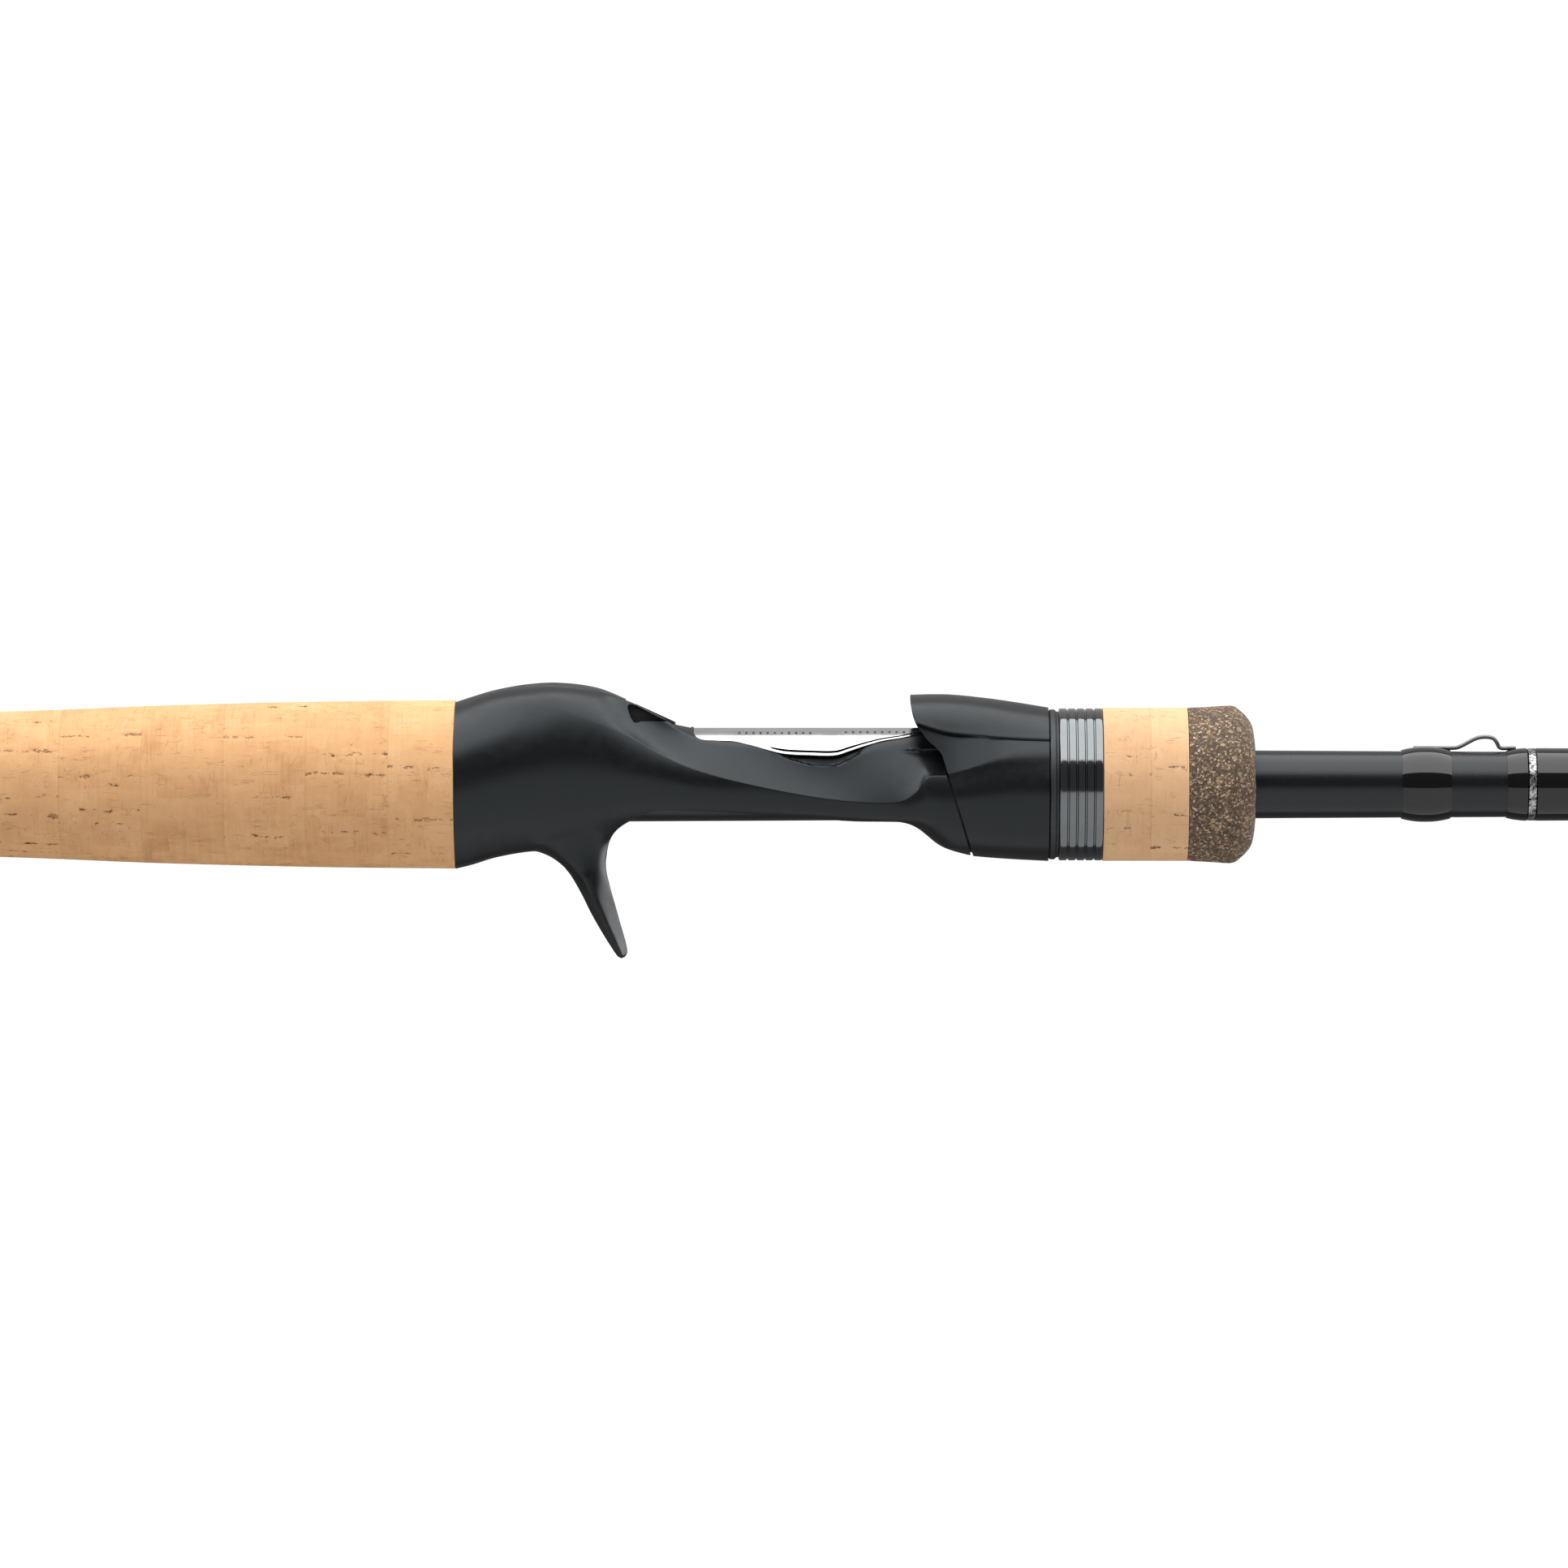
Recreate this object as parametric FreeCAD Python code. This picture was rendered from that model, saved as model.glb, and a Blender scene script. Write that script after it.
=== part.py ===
import FreeCAD, Part
import math
import os

os.makedirs("parts", exist_ok=True)
V = FreeCAD.Vector

# Casting rod with a trigger reel seat.  Millimetres.  +X runs from the butt to the
# tip along the rod's axis, +Z points to the reel and guide side.  The origin is the
# centre of the butt end.

# ---- overall ----
ROD_LENGTH = 1981.0
BLANK_START = 5.0
BLANK_END = 1977.0
# position along the rod, outer radius, wall
BLANK_STATIONS = [
    (5.0, 6.95, 1.3),
    (230.0, 5.90, 1.2),
    (402.0, 5.03, 1.1),
    (700.0, 3.95, 0.95),
    (1100.0, 2.85, 0.8),
    (1500.0, 1.85, 0.6),
    (1977.0, 0.90, 0.4),
]

# ---- butt ----
BUTT_CAP_R = 12.8
BUTT_CAP_END = 14.0
TRIM_RING_END = 16.0
TRIM_RING_R = 12.6

# ---- rear grip: stacked cork rings ----
SEAT_X = 230.0
CORK_RING_PITCH = 12.7
FRONT_RING_WIDTH = 10.1
REAR_GRIP_STATIONS = [
    (16.0, 12.4),
    (45.0, 12.2),
    (85.0, 11.2),
    (125.0, 10.8),
    (159.0, 11.3),
    (184.0, 12.25),
    (208.0, 12.85),
    (230.0, 13.1),
]

# ---- reel seat, lengths measured from its rear end ----
SADDLE_R = 8.8
PLATE_THICK = 1.2
BARREL_R = 8.0
LIP_R = 10.3
BARREL_FLAT = 6.9
BARREL_START = 70.0
BARREL_END = 112.6
THREAD_PITCH = 1.5
THREAD_DEPTH = 0.55
THREAD_START = 84.0
REAR_BORE_R = 8.4
FRONT_BORE_R = 6.35
MID_BORE_R = 5.98
REAR_ARBOR = (1.0, 19.0)
FRONT_ARBOR = (71.5, 111.0)
POCKET_HALF = 5.6
LINER_WALL = 0.7

# ---- sliding hood ----
HOOD_END = 91.9
HOOD_BORE_R = 8.35
HOOD_FLAT = 7.2
HOOD_COUNTERBORE = 88.0
COUNTERBORE_R = 10.5

# ---- lock nut built into the fore grip ----
THRUST_RING = (91.9, 93.1, 9.3, 11.65)
LOCK_RING = (93.5, 100.3, 11.8)
RIB_COUNT = 5
RIB_DEPTH = 0.22
SLEEVE_BORE_R = 8.3
SLEEVE_R = 9.7
SLEEVE_NECK_R = 8.9
SLEEVE_COLLAR = (88.4, 90.6, 10.1)
SLEEVE_END = 113.4
FORE_CORK = (100.3, 107.6, 113.5)
FORE_CORK_R = 11.9
BURL_END = 123.9
BURL_BORE_R = 5.65

# ---- hook keeper ----
KEEPER_REAR_WRAP = (146.7, 154.3)
KEEPER_FRONT_WRAP = (163.0, 185.0)
TRIM_BAND = (166.2, 167.6)
KEEPER_WIRE_R = 0.3

# ---- line guides: position, ring bore radius, height of the ring's centre above
# the blank's axis, both feet wrapped or one ----
GUIDES = [
    (645.0, 5.00, 18.0, True),
    (900.0, 4.00, 14.5, True),
    (1115.0, 3.25, 12.0, True),
    (1300.0, 2.70, 10.0, False),
    (1465.0, 2.30, 8.6, False),
    (1615.0, 2.00, 7.4, False),
    (1750.0, 1.80, 6.6, False),
    (1870.0, 1.80, 6.2, False),
]
TIP_RING_R = 1.80
TIP_RING_Z = 5.0


def interpolate(stations, x, column=1):
    """Linear value of a station table's column at x."""
    for a, b in zip(stations, stations[1:]):
        if x <= b[0]:
            t = (x - a[0]) / (b[0] - a[0])
            return a[column] + t * (b[column] - a[column])
    return stations[-1][column]


def blank_r(x):
    return interpolate(BLANK_STATIONS, x)


def blank_bore_r(x):
    return blank_r(x) - interpolate(BLANK_STATIONS, x, 2)


def spin(points):
    """Solid of revolution about the rod's axis from (x, r) corners."""
    wire = Part.makePolygon([V(x, 0, r) for x, r in points + points[:1]])
    return Part.Face(wire).revolve(V(0, 0, 0), V(1, 0, 0), 360)


def tube(x0, x1, r_in, r_out):
    return spin([(x0, r_in), (x1, r_in), (x1, r_out), (x0, r_out)])


def on_blank(x0, x1, outer, steps=1):
    """Outline running back along the blank's surface under an outer line."""
    inner = [(x1 + (x0 - x1) * i / steps, 0.0) for i in range(steps + 1)]
    return outer + [(x, blank_r(x)) for x, _ in inner]


def side_prism(points, half_width):
    """Prism across the rod from a closed (x, z) side outline."""
    wire = Part.makePolygon([V(x, -half_width, z) for x, z in points + points[:1]])
    return Part.Face(wire).extrude(V(0, 2 * half_width, 0))


def seat(points):
    """Seat-local (x, z) pairs moved to the rod's frame."""
    return [(SEAT_X + x, z) for x, z in points]


def curve(points):
    """Smooth edge through points."""
    spline = Part.BSplineCurve()
    spline.interpolate(points)
    return spline.toShape()


def largest(shape):
    return max(shape.Solids, key=lambda s: s.Volume)


def save(name, shape):
    solids = shape.Solids
    out = solids[0] if len(solids) == 1 else Part.makeCompound(solids)
    out.exportStep("parts/" + name + ".step")


# ---- blank: one tapered tube ----
def make_blank():
    outer = [(x, r) for x, r, _ in BLANK_STATIONS]
    inner = [(x, r - wall) for x, r, wall in reversed(BLANK_STATIONS)]
    return spin(outer + inner)


# ---- butt cap and trim ring ----
def make_butt_cap():
    cap = spin([(0, 0), (0, BUTT_CAP_R), (BUTT_CAP_END, BUTT_CAP_R), (BUTT_CAP_END, 0)])
    rim = [e for e in cap.Edges if abs(e.BoundBox.XMax) < 0.01 and e.BoundBox.ZMax > 5]
    cap = cap.makeFillet(3.5, rim)
    socket = spin([(BLANK_START, 0), (BLANK_START, blank_r(5)), (15, blank_r(15)), (15, 0)])
    return cap.cut(socket)


def make_trim_ring():
    ring = spin([
        (BUTT_CAP_END, blank_r(BUTT_CAP_END)),
        (BUTT_CAP_END, TRIM_RING_R - 0.25),
        (BUTT_CAP_END + 0.3, TRIM_RING_R),
        (TRIM_RING_END - 0.3, TRIM_RING_R),
        (TRIM_RING_END, TRIM_RING_R - 0.25),
        (TRIM_RING_END, blank_r(TRIM_RING_END)),
    ])
    return ring


# ---- rear grip ----
def make_rear_cork():
    profile = Part.BSplineCurve()
    profile.interpolate([V(x, 0, r) for x, r in REAR_GRIP_STATIONS])
    x0 = REAR_GRIP_STATIONS[0][0]
    edge = profile.toShape()
    lower = Part.makePolygon([V(SEAT_X, 0, REAR_GRIP_STATIONS[-1][1]), V(SEAT_X, 0, 0),
                              V(x0, 0, 0), V(x0, 0, REAR_GRIP_STATIONS[0][1])])
    face = Part.Face(Part.Wire([edge] + lower.Edges))
    body = face.revolve(V(0, 0, 0), V(1, 0, 0), 360)
    bore = spin([(10, 0), (10, blank_r(10)), (SEAT_X, blank_r(SEAT_X)), (SEAT_X + 5, 0)])
    body = body.cut(bore)
    joints = [SEAT_X, SEAT_X - FRONT_RING_WIDTH]
    while joints[-1] - CORK_RING_PITCH > x0 + 4:
        joints.append(joints[-1] - CORK_RING_PITCH)
    joints.append(x0)
    rings = []
    for front, rear in zip(joints, joints[1:]):
        slab = tube(rear, front, 0, 20)
        rings.append(largest(body.common(slab)))
    return Part.makeCompound(rings)


# ---- seat body: smooth sections with a sharp ridge along each side ----
# along seat, top, crown edge y z, hollow y z, ridge y z, side y z, lower edge y z, bottom
BODY_STATIONS = [
    (0.0, 12.8, 2.8, 12.5, 5.0, 11.85, 6.9, 10.95, 12.9, 0.0, 3.6, -12.55, -13.1),
    (2.6, 13.65, 2.9, 13.35, 5.1, 12.75, 7.2, 11.8, 12.75, 0.5, 3.4, -11.95, -12.45),
    (6.0, 14.65, 3.1, 14.4, 5.6, 13.75, 7.9, 12.55, 12.55, 1.0, 3.2, -11.0, -11.4),
    (11.0, 15.55, 3.5, 15.2, 6.5, 14.5, 9.2, 13.05, 12.3, 1.5, 3.0, -10.2, -10.5),
    (16.0, 15.8, 4.2, 15.25, 7.6, 14.45, 10.4, 12.7, 12.1, 1.5, 3.0, -9.8, -10.1),
    (22.0, 15.0, 5.3, 14.5, 8.5, 12.9, 11.1, 10.2, 11.8, 0.8, 3.5, -8.6, -9.2),
    (27.0, 13.0, 6.3, 12.85, 8.3, 10.0, 10.85, 7.7, 11.4, 0.0, 4.0, -6.9, -7.6),
    (32.0, 10.7, 6.7, 10.45, 8.1, 7.0, 10.35, 4.7, 10.8, 0.0, 4.6, -5.8, -6.8),
    (37.5, 8.8, 6.0, 7.2, 7.9, 4.8, 10.1, 2.2, 10.1, -1.4, 5.4, -5.3, -6.6),
    (46.0, 8.75, 6.5, 5.9, 7.9, 3.3, 10.0, -0.1, 9.3, -2.8, 5.7, -5.3, -6.6),
    (57.0, 8.75, 7.0, 5.2, 7.9, 2.1, 9.7, -2.2, 8.8, -4.1, 5.6, -5.7, -6.7),
    (66.0, 8.75, 6.3, 6.1, 7.7, 2.9, 9.8, -3.0, 9.0, -4.7, 5.2, -6.4, -6.9),
    (69.5, 8.75, 5.8, 6.6, 7.6, 3.4, 10.1, -2.5, 9.7, -4.5, 5.1, -6.5, -7.0),
    (71.6, 8.75, 5.6, 6.8, 7.7, 3.4, 10.5, -0.9, 10.3, -4.0, 5.2, -6.9, -7.35),
    (73.0, 8.75, 5.5, 6.8, 7.7, 3.3, 10.7, 1.0, 10.7, -3.5, 5.4, -7.7, -8.25),
    (76.0, 8.75, 5.4, 6.8, 7.8, 3.0, 10.9, 1.35, 11.2, -3.0, 5.8, -9.5, -10.2),
    (78.5, 8.75, 5.4, 6.8, 7.9, 2.9, 11.0, 1.5, 11.3, -3.0, 6.0, -9.9, -10.9),
    (81.0, 8.75, 5.4, 6.8, 7.9, 2.8, 11.0, 1.6, 11.4, -3.0, 6.0, -9.9, -10.95),
]
BODY_SLICES = 30


def faired(stations, x):
    """Smooth row of a station table at x, for every column."""
    count = len(stations)
    i = max(0, min(count - 2, sum(1 for row in stations if row[0] <= x) - 1))
    a, b = stations[i], stations[i + 1]
    before = stations[max(i - 1, 0)]
    after = stations[min(i + 2, count - 1)]
    span = b[0] - a[0]
    t = (x - a[0]) / span
    row = []
    for k in range(1, len(a)):
        slope_a = (b[k] - before[k]) / (b[0] - before[0]) * span
        slope_b = (after[k] - a[k]) / (after[0] - a[0]) * span
        row.append((2 * t**3 - 3 * t**2 + 1) * a[k] + (t**3 - 2 * t**2 + t) * slope_a
                   + (3 * t**2 - 2 * t**3) * b[k] + (t**3 - t**2) * slope_b)
    return row


def slices(stations, count):
    """Evenly spaced stations with their faired rows."""
    x0 = stations[0][0]
    x1 = stations[-1][0]
    places = [x0 + (x1 - x0) * i / count for i in range(count + 1)]
    return [(x, faired(stations, x)) for x in places]


def body_wire(x, row):
    top, bottom = row[0], row[-1]
    crown, hollow, ridge, side, low = zip(row[1:11:2], row[2:11:2])
    px = SEAT_X + x

    def p(yz, sign=1):
        return V(px, sign * yz[0], yz[1])

    edges = [
        curve([p(crown, -1), V(px, 0, top), p(crown)]),
        curve([p(crown), p(hollow), p(ridge)]),
        curve([p(ridge), p(side), p(low)]),
        curve([p(low), V(px, 0, bottom), p(low, -1)]),
        curve([p(low, -1), p(side, -1), p(ridge, -1)]),
        curve([p(ridge, -1), p(hollow, -1), p(crown, -1)]),
    ]
    return Part.Wire(edges)


# ---- trigger: rear point, front point of each section, half width ----
TRIGGER_SECTIONS = [
    ((9.8, -9.6), (26.8, -5.2), 6.8),
    ((12.9, -10.6), (25.4, -7.2), 5.6),
    ((15.1, -11.6), (24.0, -9.3), 4.8),
    ((17.4, -13.6), (23.3, -12.2), 4.3),
    ((19.4, -16.9), (23.8, -15.4), 4.1),
    ((20.9, -19.9), (24.6, -18.3), 3.9),
    ((22.6, -22.9), (25.5, -21.5), 3.5),
    ((24.1, -25.3), (26.3, -24.3), 2.9),
    ((25.0, -26.6), (26.6, -26.0), 1.9),
    ((25.6, -27.0), (26.2, -26.8), 0.7),
]


def trigger_wire(section):
    rear, front, half = section
    a = V(SEAT_X + rear[0], 0, rear[1])
    b = V(SEAT_X + front[0], 0, front[1])

    def p(t, w):
        q = a + (b - a) * t
        return V(q.x, w * half, q.z)

    back = curve([p(0.56, 1.0), p(0.18, 0.9), p(0.0, 0.0), p(0.18, -0.9), p(0.56, -1.0)])
    nose = curve([p(0.56, -1.0), p(0.86, -0.72), p(1.0, 0.0), p(0.86, 0.72), p(0.56, 1.0)])
    return Part.Wire([back, nose])


def make_barrel():
    """Keyed barrel with a thread form turned on its front half."""
    x0 = SEAT_X + BARREL_START
    x1 = SEAT_X + BARREL_END
    outline = [(x0, 0), (x0, BARREL_R)]
    crest = SEAT_X + THREAD_START
    while crest + THREAD_PITCH < x1 - 0.8:
        outline.append((crest, BARREL_R))
        outline.append((crest + 0.45 * THREAD_PITCH, BARREL_R - THREAD_DEPTH))
        outline.append((crest + 0.6 * THREAD_PITCH, BARREL_R - THREAD_DEPTH))
        crest += THREAD_PITCH
    outline += [(crest, BARREL_R), (x1 - 0.6, BARREL_R), (x1, BARREL_R - 0.6), (x1, 0)]
    keyed = Part.makeBox(x1 - x0, 2 * BARREL_FLAT, 20, V(x0, -BARREL_FLAT, -10))
    return spin(outline).common(keyed)


# side outline of the polished plate under the reel's foot
PLATE_OUTLINE = [
    (36.9, 8.0), (37.3, 7.4), (38.2, 6.95), (40.2, 6.8), (43.2, 6.65), (45.8, 6.1),
    (48.3, 5.4), (50.8, 4.8), (55.0, 4.55), (59.0, 4.55), (60.9, 5.15), (62.8, 5.8),
    (66.0, 6.7), (69.0, 7.2), (71.6, 7.7), (75.5, 8.0), (75.5, 12.0), (36.9, 12.0),
]

# side outline of the opening under the fixed hood's rim
POCKET_OUTLINE = [
    (26.8, 12.0), (26.9, 12.5), (27.2, 12.62), (28.0, 12.35), (30.0, 11.3), (32.5, 10.15),
    (33.3, 9.8), (28.0, 9.8), (27.85, 9.35), (27.3, 10.4),
]


# side outline of the open space under the seat: up the trigger's front face, along
# the edge of the window over the bare blank, to the front collar
WINDOW_OUTLINE = [
    (23.9, -13.0), (24.2, -9.7), (25.5, -7.5), (27.0, -6.1), (28.6, -5.0), (30.0, -4.35),
    (31.6, -3.95), (36.0, -4.1), (40.8, -4.3), (48.3, -4.75), (55.7, -5.3), (61.5, -5.72),
    (67.0, -5.8), (69.0, -5.95), (70.3, -6.4), (71.4, -7.1), (71.4, -13.0),
]


def slit_lip(grow):
    """Lip on the neck's slanted face that closes the slit under the hood's rear edge."""
    front = 1.0 + grow
    outline = [(75.7 - grow, 1.0 + grow), (76.16 + front, 1.0 + grow), (79.9 + front, -11.0),
               (80.2 + front, -12.0), (79.4, -12.0), (79.2 - grow, -11.0)]
    return side_prism(seat(outline), 16).common(tube(SEAT_X + 70, SEAT_X + 90, 0, LIP_R + 0.8 * grow))


def make_seat_body():
    body = Part.makeLoft([body_wire(x, row) for x, row in slices(BODY_STATIONS, BODY_SLICES)],
                         True, False)
    trigger = Part.makeLoft([trigger_wire(s) for s in TRIGGER_SECTIONS], True, False)
    # slanted front face of the lower collar, square end on the neck above it
    front = side_prism(seat([(76.0, 1.5), (79.9, -11.0), (80.5, -14), (90, -14), (90, 14),
                             (76.0, 14)]), 16)
    body = body.cut(front).fuse(slit_lip(0.0)).fuse(trigger)
    body = largest(body.fuse(make_barrel()))
    # reel foot saddle: plate recess, foot channel and pocket under the fixed hood
    recess = side_prism(seat(PLATE_OUTLINE), 12)
    core = tube(SEAT_X + 30, SEAT_X + 80, 0, SADDLE_R - PLATE_THICK)
    body = body.cut(recess.cut(core))
    pocket = side_prism(seat([(14.5, 9.3), (34.0, 9.3), (36.5, 8.8), (36.5, 18.0), (27.0, 18.0),
                              (26.2, 12.7), (14.5, 12.3)]), POCKET_HALF)
    body = body.cut(pocket)
    body = body.cut(side_prism(seat(POCKET_OUTLINE), 13))
    # exposed blank in front of the trigger
    window = side_prism(seat(WINDOW_OUTLINE), 12)
    body = body.cut(window)
    bore = tube(SEAT_X - 1, SEAT_X + REAR_ARBOR[1], 0, REAR_BORE_R)
    bore = bore.fuse(tube(SEAT_X + 15, SEAT_X + 75, 0, MID_BORE_R))
    bore = bore.fuse(tube(SEAT_X + FRONT_ARBOR[0], SEAT_X + 120, 0, FRONT_BORE_R))
    return largest(body.cut(bore))


def make_foot_plate():
    shell = tube(SEAT_X + 30, SEAT_X + 80, SADDLE_R - PLATE_THICK, SADDLE_R)
    return largest(shell.common(side_prism(seat(PLATE_OUTLINE), 12)))


def make_pocket_liner():
    """U shaped liner that cups the rear end of the reel's foot."""
    x0 = 14.5
    outer = side_prism(seat([(x0, 9.3), (34.0, 9.3), (34.0, 9.7), (32.5, 10.4), (30.0, 11.55),
                             (28.0, 12.45), (27.0, 12.3), (x0, 12.2)]), POCKET_HALF)
    inner = side_prism(seat([(x0 + 1, 9.9), (36.5, 9.9), (36.5, 14), (x0 + 1, 14)]),
                       POCKET_HALF - LINER_WALL)
    return largest(outer.cut(inner))


def make_arbor(span, outer_r):
    x0 = SEAT_X + span[0]
    x1 = SEAT_X + span[1]
    return spin([(x0, blank_r(x0)), (x0, outer_r), (x1, outer_r), (x1, blank_r(x1))])


# ---- sliding hood ----
# along seat, top, shoulder y z, widest of dome y z, upper crease y z, lower crease y z,
# side y z, lower side y z, bottom
HOOD_STATIONS = [
    (69.0, 13.9, 6.2, 12.9, 9.1, 10.6, 8.3, 10.1, 10.5, 0.6, 10.9, -3.6, 6.2, -8.4, -9.9),
    (76.0, 14.0, 6.2, 12.8, 9.2, 9.9, 8.6, 7.8, 10.8, 1.5, 11.2, -3.0, 6.6, -8.9, -10.7),
    (82.0, 13.45, 6.0, 12.2, 9.2, 9.4, 9.1, 7.3, 11.1, 3.1, 11.4, -2.6, 6.9, -9.3, -11.3),
    (87.0, 12.75, 5.6, 11.4, 8.8, 8.9, 9.5, 7.1, 11.1, 4.3, 11.6, -2.0, 7.2, -9.4, -11.65),
    (91.9, 11.95, 5.1, 10.8, 8.2, 8.7, 9.65, 7.05, 10.95, 4.8, 11.8, -1.8, 7.4, -9.35, -11.9),
]
HOOD_SLICES = 9
HOOD_REAR_EDGE = [
    (70.6, 15.0), (70.5, 13.4), (70.7, 12.0), (71.0, 10.6), (71.5, 9.3), (72.2, 8.1), (73.2, 6.75),
    (74.5, 5.6), (75.3, 4.6), (75.7, 3.4), (76.3, 1.5), (80.25, -11.0), (81.3, -14.5),
]


def hood_wire(x, row):
    top, bottom = row[0], row[-1]
    shoulder, dome, upper, lower, side, low = zip(row[1:13:2], row[2:13:2])
    px = SEAT_X + x

    def p(yz, sign=1):
        return V(px, sign * yz[0], yz[1])

    edges = [
        curve([p(upper, -1), p(dome, -1), p(shoulder, -1), V(px, 0, top), p(shoulder), p(dome),
               p(upper)]),
        curve([p(upper), p(lower)]),
        curve([p(lower), p(side), p(low), V(px, 0, bottom), p(low, -1), p(side, -1),
               p(lower, -1)]),
        curve([p(lower, -1), p(upper, -1)]),
    ]
    return Part.Wire(edges)


def make_hood():
    hood = Part.makeLoft([hood_wire(x, row) for x, row in slices(HOOD_STATIONS, HOOD_SLICES)],
                         True, False)
    behind = side_prism(seat(HOOD_REAR_EDGE + [(60, -14.5), (60, 15)]), 16)
    hood = hood.cut(behind)
    bore = tube(SEAT_X + 60, SEAT_X + 95, 0, HOOD_BORE_R)
    bore = bore.common(Part.makeBox(40, 2 * HOOD_FLAT, 20, V(SEAT_X + 60, -HOOD_FLAT, -10)))
    hood = hood.cut(bore).cut(slit_lip(0.25))
    # clearance round the plate's nose and the neck, then the reel foot's pocket
    hood = hood.cut(tube(SEAT_X + 60, SEAT_X + 77.0, 0, SADDLE_R + 0.35))
    cavity = side_prism(seat([(66, 6), (66, 13.4), (86, 11.2), (86, 6)]), 7.6)
    arch = Part.makeCylinder(8.7, 40, V(SEAT_X + 60, 0, 4.0), V(1, 0, 0))
    hood = hood.cut(cavity.common(arch))
    hood = hood.cut(tube(SEAT_X + HOOD_COUNTERBORE, SEAT_X + 95, 0, COUNTERBORE_R))
    return largest(hood)


# ---- lock nut and fore grip ----
def make_thrust_ring():
    x0, x1, r0, r1 = THRUST_RING
    x0 += SEAT_X
    x1 += SEAT_X
    return spin([(x0, r0), (x0, r1 - 0.2), (x0 + 0.25, r1), (x1 - 0.25, r1), (x1, r1 - 0.2),
                 (x1, r0)])


def make_lock_ring():
    x0, x1, r = LOCK_RING
    x0 += SEAT_X
    x1 += SEAT_X
    pitch = (x1 - x0) / RIB_COUNT
    outline = [(x0, SLEEVE_R)]
    for i in range(RIB_COUNT):
        start = x0 + i * pitch
        for t, drop in ((0.0, 1.0), (0.07, 0.85), (0.15, 0.3), (0.22, 0.0), (0.78, 0.0),
                        (0.85, 0.3), (0.93, 0.85)):
            outline.append((start + t * pitch, r - RIB_DEPTH * drop))
    outline += [(x1, r - RIB_DEPTH), (x1, SLEEVE_R)]
    return spin(outline)


def make_nut_sleeve():
    c0, c1, collar_r = SLEEVE_COLLAR
    outline = [(c0, SLEEVE_BORE_R), (c0, collar_r), (c1, collar_r), (c1, SLEEVE_NECK_R),
               (LOCK_RING[0], SLEEVE_NECK_R), (LOCK_RING[0], SLEEVE_R), (SLEEVE_END, SLEEVE_R),
               (SLEEVE_END, SLEEVE_BORE_R)]
    return spin([(SEAT_X + x, r) for x, r in outline])


def make_fore_cork():
    rings = [tube(SEAT_X + a, SEAT_X + b, SLEEVE_R, FORE_CORK_R)
             for a, b in zip(FORE_CORK, FORE_CORK[1:])]
    return Part.makeCompound(rings)


def make_fore_burl():
    x0 = SEAT_X + FORE_CORK[-1]
    x1 = SEAT_X + BURL_END
    outline = [(x0, BURL_BORE_R), (x0, FORE_CORK_R), (x0 + 6.2, FORE_CORK_R + 0.35),
               (x0 + 7.0, 12.2), (x0 + 7.6, 11.95), (x0 + 8.4, 11.3), (x0 + 9.2, 10.5),
               (x0 + 9.8, 9.65), (x0 + 10.15, 8.7), (x1, 7.2), (x1, BURL_BORE_R)]
    return spin(outline)


# ---- thread wraps and hook keeper ----
def wrap_profile(x0, x1, rise):
    """Coated winding with feathered ends, lying on the blank."""
    feather = min(1.6, 0.2 * (x1 - x0))
    outer = [(x0, blank_r(x0)), (x0 + 0.35 * feather, blank_r(x0) + 0.62 * rise),
             (x0 + feather, blank_r(x0) + rise), (x1 - feather, blank_r(x1) + rise),
             (x1 - 0.35 * feather, blank_r(x1) + 0.62 * rise)]
    return on_blank(x0, x1, outer)


def crowned_profile(x0, x1, rise):
    """Coated winding with low blunt ends and a crowned middle."""
    slope = min(3.4, 0.45 * (x1 - x0))
    outer = [(x0, blank_r(x0) + 0.3 * rise), (x0 + 0.3 * slope, blank_r(x0) + 0.62 * rise),
             (x0 + 0.6 * slope, blank_r(x0) + 0.86 * rise), (x0 + slope, blank_r(x0) + rise),
             (x1 - slope, blank_r(x1) + rise), (x1 - 0.6 * slope, blank_r(x1) + 0.86 * rise),
             (x1 - 0.3 * slope, blank_r(x1) + 0.62 * rise), (x1, blank_r(x1) + 0.3 * rise)]
    return on_blank(x0, x1, outer)


def make_keeper_wire():
    s = SEAT_X
    z0 = blank_r(s + 148.5) + KEEPER_WIRE_R + 0.01
    path = [V(s + 148.5, 0, z0), V(s + 151.5, 0, z0), V(s + 154.2, 0, z0), V(s + 156.4, 0, 6.15),
            V(s + 158.1, 0, 7.08), V(s + 159.2, 0, 7.46), V(s + 160.3, 0, 7.52),
            V(s + 161.3, 0, 7.3), V(s + 161.85, 0, 6.7), V(s + 162.2, 0, 5.95),
            V(s + 162.7, 0, z0 + 0.06), V(s + 163.6, 0, z0), V(s + 164.5, 0, z0)]
    wire = Part.Wire(curve(path))
    ring = Part.Wire(Part.makeCircle(KEEPER_WIRE_R, path[0], V(1, 0, 0)))
    return wire.makePipeShell([ring], True, False)


def make_keeper_wraps(keeper):
    rear = spin(crowned_profile(*(SEAT_X + x for x in KEEPER_REAR_WRAP), 0.68))
    front = spin(crowned_profile(*(SEAT_X + x for x in KEEPER_FRONT_WRAP), 0.6))
    groove = tube(SEAT_X + TRIM_BAND[0], SEAT_X + TRIM_BAND[1], 5.35, 7)
    return rear.cut(keeper), front.cut(keeper).cut(groove)


def make_trim_band():
    return tube(SEAT_X + TRIM_BAND[0], SEAT_X + TRIM_BAND[1], 5.35, 5.68)


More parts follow.
